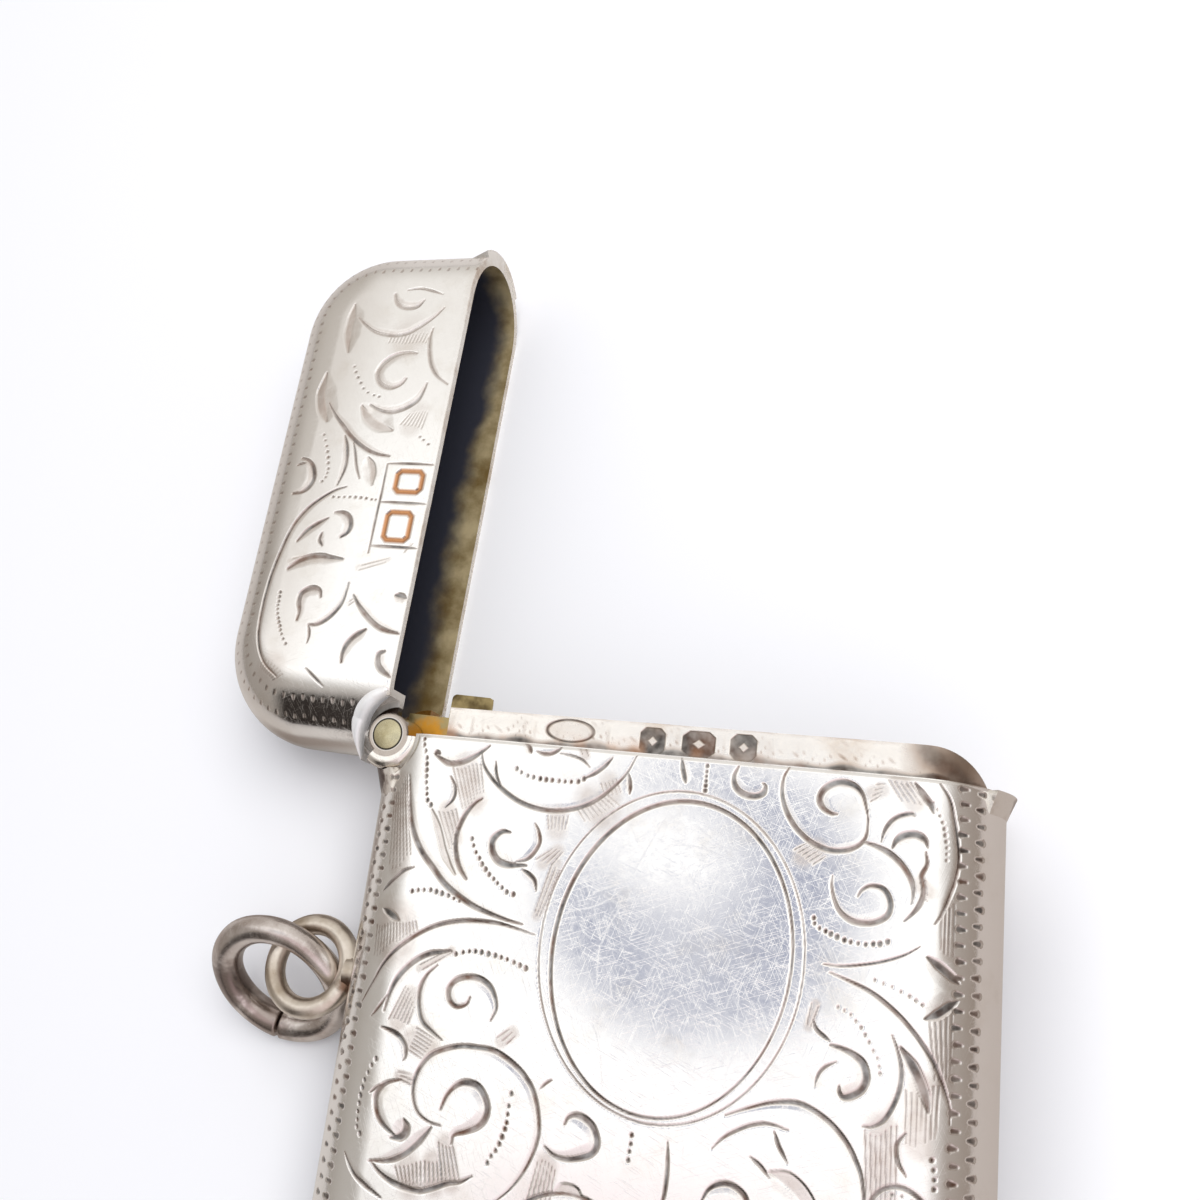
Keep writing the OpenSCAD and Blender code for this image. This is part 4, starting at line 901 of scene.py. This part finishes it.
def white_floor():
    """Plain pale floor with a painted soft shadow beside the case. Where the metal mirrors it, it shows a
    painted reflection, greyer and darkest before the lid's end. Away from the case it fades into the white
    surround."""
    half = 600 * MM
    me = bpy.data.meshes.new("floor")
    corners = [(-half, -half, 0), (half, -half, 0), (half, half, 0), (-half, half, 0)]
    me.from_pydata(corners, [], [(0, 1, 2, 3)])
    mat = bpy.data.materials.new("white_paper")
    mat.use_nodes = True
    t = mat.node_tree
    t.nodes.clear()
    place = add(t, "TexCoord", out="Object")
    across, along = add(t, "SeparateXYZ", [place]).node.outputs[:2]
    past = add(t, "VectorMath", [place], operation="ABSOLUTE")
    past = add(t, "VectorMath", [past, (CASE_W / 2 * MM, MOUTH * MM, 0)], operation="SUBTRACT")
    past = add(t, "VectorMath", [past, (0, 0, 0)], operation="MAXIMUM")
    gap = add(t, "VectorMath", [past], "Value", operation="LENGTH")
    # Painted shadow: darker within 6.5 mm of the case, and only beside its lower part
    shade = add(t, "Math", [add(t, "MapRange", [gap, 6.5 * MM, 0.0], **SMOOTH),
                            add(t, "MapRange", [along, 18 * MM, 8 * MM], **SMOOTH)], operation="MULTIPLY")
    painted_shadow_paper = add(t, "Mix", {0: shade, 6: linear("#f7f7f9"), 7: linear("#dadadd")}, 2, **BLEND)

    # Painted reflection: the floor as the metal mirrors it is grey, greyer to the right and darkest before
    # the lid's end
    right = add(t, "MapRange", [across, -15 * MM, 15 * MM], **SMOOTH)
    painted_reflection_grey = add(t, "Mix", {0: right, 6: linear("#d2ccc6"), 7: linear("#bbb1aa")}, 2, **BLEND)
    lid_end = add(t, "VectorMath", [place, (-29 * MM, 10 * MM, 0)], "Value", operation="DISTANCE")
    lid_end = add(t, "MapRange", [lid_end, 9 * MM, 2 * MM], **SMOOTH)
    painted_reflection_grey = add(t, "Mix", {0: lid_end, 6: painted_reflection_grey, 7: linear("#968b83")}, 2, **BLEND)

    mirrored, seen = [add(t, "LightPath", out=key) for key in ("Is Glossy Ray", "Is Camera Ray")]
    colour = add(t, "Mix", {0: mirrored, 6: painted_shadow_paper, 7: painted_reflection_grey}, 2, **BLEND)
    card = add(t, "BsdfPrincipled", {"Base Color": colour, "Roughness": 0.8, "Specular IOR Level": 0.1})
    white = add(t, "Emission", {"Color": linear("#ffffff"), "Strength": 1.0})
    away = add(t, "VectorMath", [place], "Value", operation="LENGTH")
    far = add(t, "MapRange", [away, 70 * MM, 240 * MM], **SMOOTH)
    fade = add(t, "Math", [far, seen], operation="MULTIPLY")
    add(t, "OutputMaterial", [add(t, "MixShader", [fade, card, white])])
    me.materials.append(mat)
    ob = bpy.data.objects.new("floor", me)
    bpy.context.scene.collection.objects.link(ob)


def studio_world():
    """White surround for the floor. The metal mirrors a bright tent, greyer to its sides and behind the lid,
    with a dark upright band before the case and a dull blue patch overhead that has two brighter places."""
    world = bpy.data.worlds.new("studio")
    bpy.context.scene.world = world
    world.use_nodes = True
    t = world.node_tree
    t.nodes.clear()
    way = add(t, "TexCoord", out="Generated")
    # Directions run from -1 to 1: x across the case, y along it and z up
    x, y, z = add(t, "SeparateXYZ", [way]).node.outputs

    behind = add(t, "Math", [add(t, "MapRange", [x, -0.42, -0.58], **SMOOTH),
                             add(t, "MapRange", [y, 0.12, 0.34, 0.0, 0.75], **SMOOTH)], operation="MULTIPLY")
    blush = add(t, "Math", [add(t, "MapRange", [y, -0.11, -0.22, 0.0, 0.65], **SMOOTH),
                            add(t, "MapRange", [x, -0.38, -0.28], **SMOOTH)], operation="MULTIPLY")
    slant = add(t, "Math", [y, 0.8, add(t, "Math", [x, 0.9], operation="MULTIPLY")], operation="MULTIPLY_ADD")
    off = add(t, "Math", [add(t, "Math", [x, 0.54], operation="ADD")], operation="ABSOLUTE")
    band = add(t, "Math", [add(t, "MapRange", [off, 0.26, 0.05, 0.0, 0.98], **SMOOTH),
                           add(t, "MapRange", [y, -0.30, -0.56], **SMOOTH)], operation="MULTIPLY")

    ragged = add(t, "TexNoise", {"Vector": way, "Scale": 14.0, "Detail": 2.0})
    ragged = add(t, "Math", [ragged, 0.42, -0.21], operation="MULTIPLY_ADD")
    overhead = add(t, "MapRange", [z, 0.7, 0.8], **SMOOTH)
    # Ovals of the dull patch: middle, turn, half width, half height, softness, and share added
    dull = 0.0
    for px, py, turn, wide, high, soft, share in (
            (-0.178, 0.048, 0.30, 0.130, 0.116, 0.16, 1.0), (-0.213, 0.084, 0.0, 0.066, 0.040, 0.50, -1.0),
            (-0.185, 0.03, 0.0, 0.045, 0.07, 0.7, -0.32)):
        c, s = math.cos(turn), math.sin(turn)
        dx, dy = [add(t, "Math", [a, -b], operation="ADD") for a, b in ((x, px), (y, py))]
        a = add(t, "Math", [dx, c / wide, add(t, "Math", [dy, s / wide], operation="MULTIPLY")],
                operation="MULTIPLY_ADD")
        b = add(t, "Math", [dy, c / high, add(t, "Math", [dx, -s / high], operation="MULTIPLY")],
                operation="MULTIPLY_ADD")
        d = add(t, "Math", [a, a, add(t, "Math", [b, b], operation="MULTIPLY")], operation="MULTIPLY_ADD")
        d = add(t, "Math", [add(t, "Math", [d], operation="SQRT"), ragged], operation="ADD")
        patch = add(t, "MapRange", [d, 1 + soft, 1 - soft], **SMOOTH)
        patch = add(t, "Math", [patch, overhead], operation="MULTIPLY")
        dull = add(t, "Math", [patch, share, dull], operation="MULTIPLY_ADD")

    tent = linear("#8b857f")
    for factor, code in ((add(t, "MapRange", [z, -0.05, 0.70], **SMOOTH), "#ffffff"),
                         (add(t, "MapRange", [y, 0.28, 0.50, 0.0, 0.7], **SMOOTH), "#c9c5c0"),
                         (behind, "#b2ada7"), (blush, "#d6c3c9"),
                         (add(t, "MapRange", [slant, -0.37, -0.72, 0.0, 0.9], **SMOOTH), "#948e88"),
                         (add(t, "MapRange", [x, 0.45, 0.85, 0.0, 0.9], **SMOOTH), "#897e76"),
                         (band, "#211b18"), (add(t, "Math", [dull, 0.0], operation="MAXIMUM"), "#8c92a8")):
        tent = add(t, "Mix", {0: factor, 6: tent, 7: linear(code)}, 2, **BLEND)

    mirrored, seen = [add(t, "LightPath", out=key) for key in ("Is Glossy Ray", "Is Camera Ray")]
    shiny = add(t, "Background", {"Color": tent, "Strength": 1.35})
    plain = add(t, "Background", {"Color": linear("#fafaff"), "Strength": 0.61})
    white = add(t, "Background", {"Color": linear("#ffffff"), "Strength": 1.0})
    lit = add(t, "MixShader", [mirrored, plain, shiny])
    add(t, "OutputWorld", [add(t, "MixShader", [seen, lit, white])])


def soft_light(name, place, aim, size, power):
    """Large soft light that lights the floor and is not mirrored in the metal. Lengths are in millimetres."""
    light = bpy.data.lights.new(name, "AREA")
    light.energy = power
    light.size = size * MM
    ob = bpy.data.objects.new(name, light)
    ob.location = Vector(place) * MM
    ob.rotation_euler = (Vector(aim) - Vector(place)).to_track_quat("-Z", "Y").to_euler()
    ob.visible_glossy = False
    bpy.context.scene.collection.objects.link(ob)


def photo_camera():
    """Camera at the photo's place: its right, down and forward directions, and its lens shift."""
    cam = bpy.data.cameras.new("camera")
    cam.sensor_fit = "HORIZONTAL"
    cam.sensor_width = 36.0
    cam.lens = 34.5
    # The lens's axis meets the picture 100 of its 1200 pixels beside the middle
    cam.shift_x = 100 / 1200
    cam.clip_start = 5 * MM
    ob = bpy.data.objects.new("camera", cam)
    bpy.context.scene.collection.objects.link(ob)
    right = (0.93294, 0.14254, -0.33061)
    down = (0.03871, -0.95268, -0.3015)
    ahead = (-0.35794, 0.26848, -0.89431)
    place = (13.975, 6.854, 69.625)
    rows = [(right[k], -down[k], -ahead[k], place[k] * MM) for k in range(3)]
    ob.matrix_world = Matrix(rows + [(0, 0, 0, 1)])
    bpy.context.scene.camera = ob


white_floor()
studio_world()
soft_light("top_softbox", place=(90, 110, 280), aim=(0, 10, 0), size=250, power=0.68)
photo_camera()
bpy.context.scene.view_settings.view_transform = "Standard"
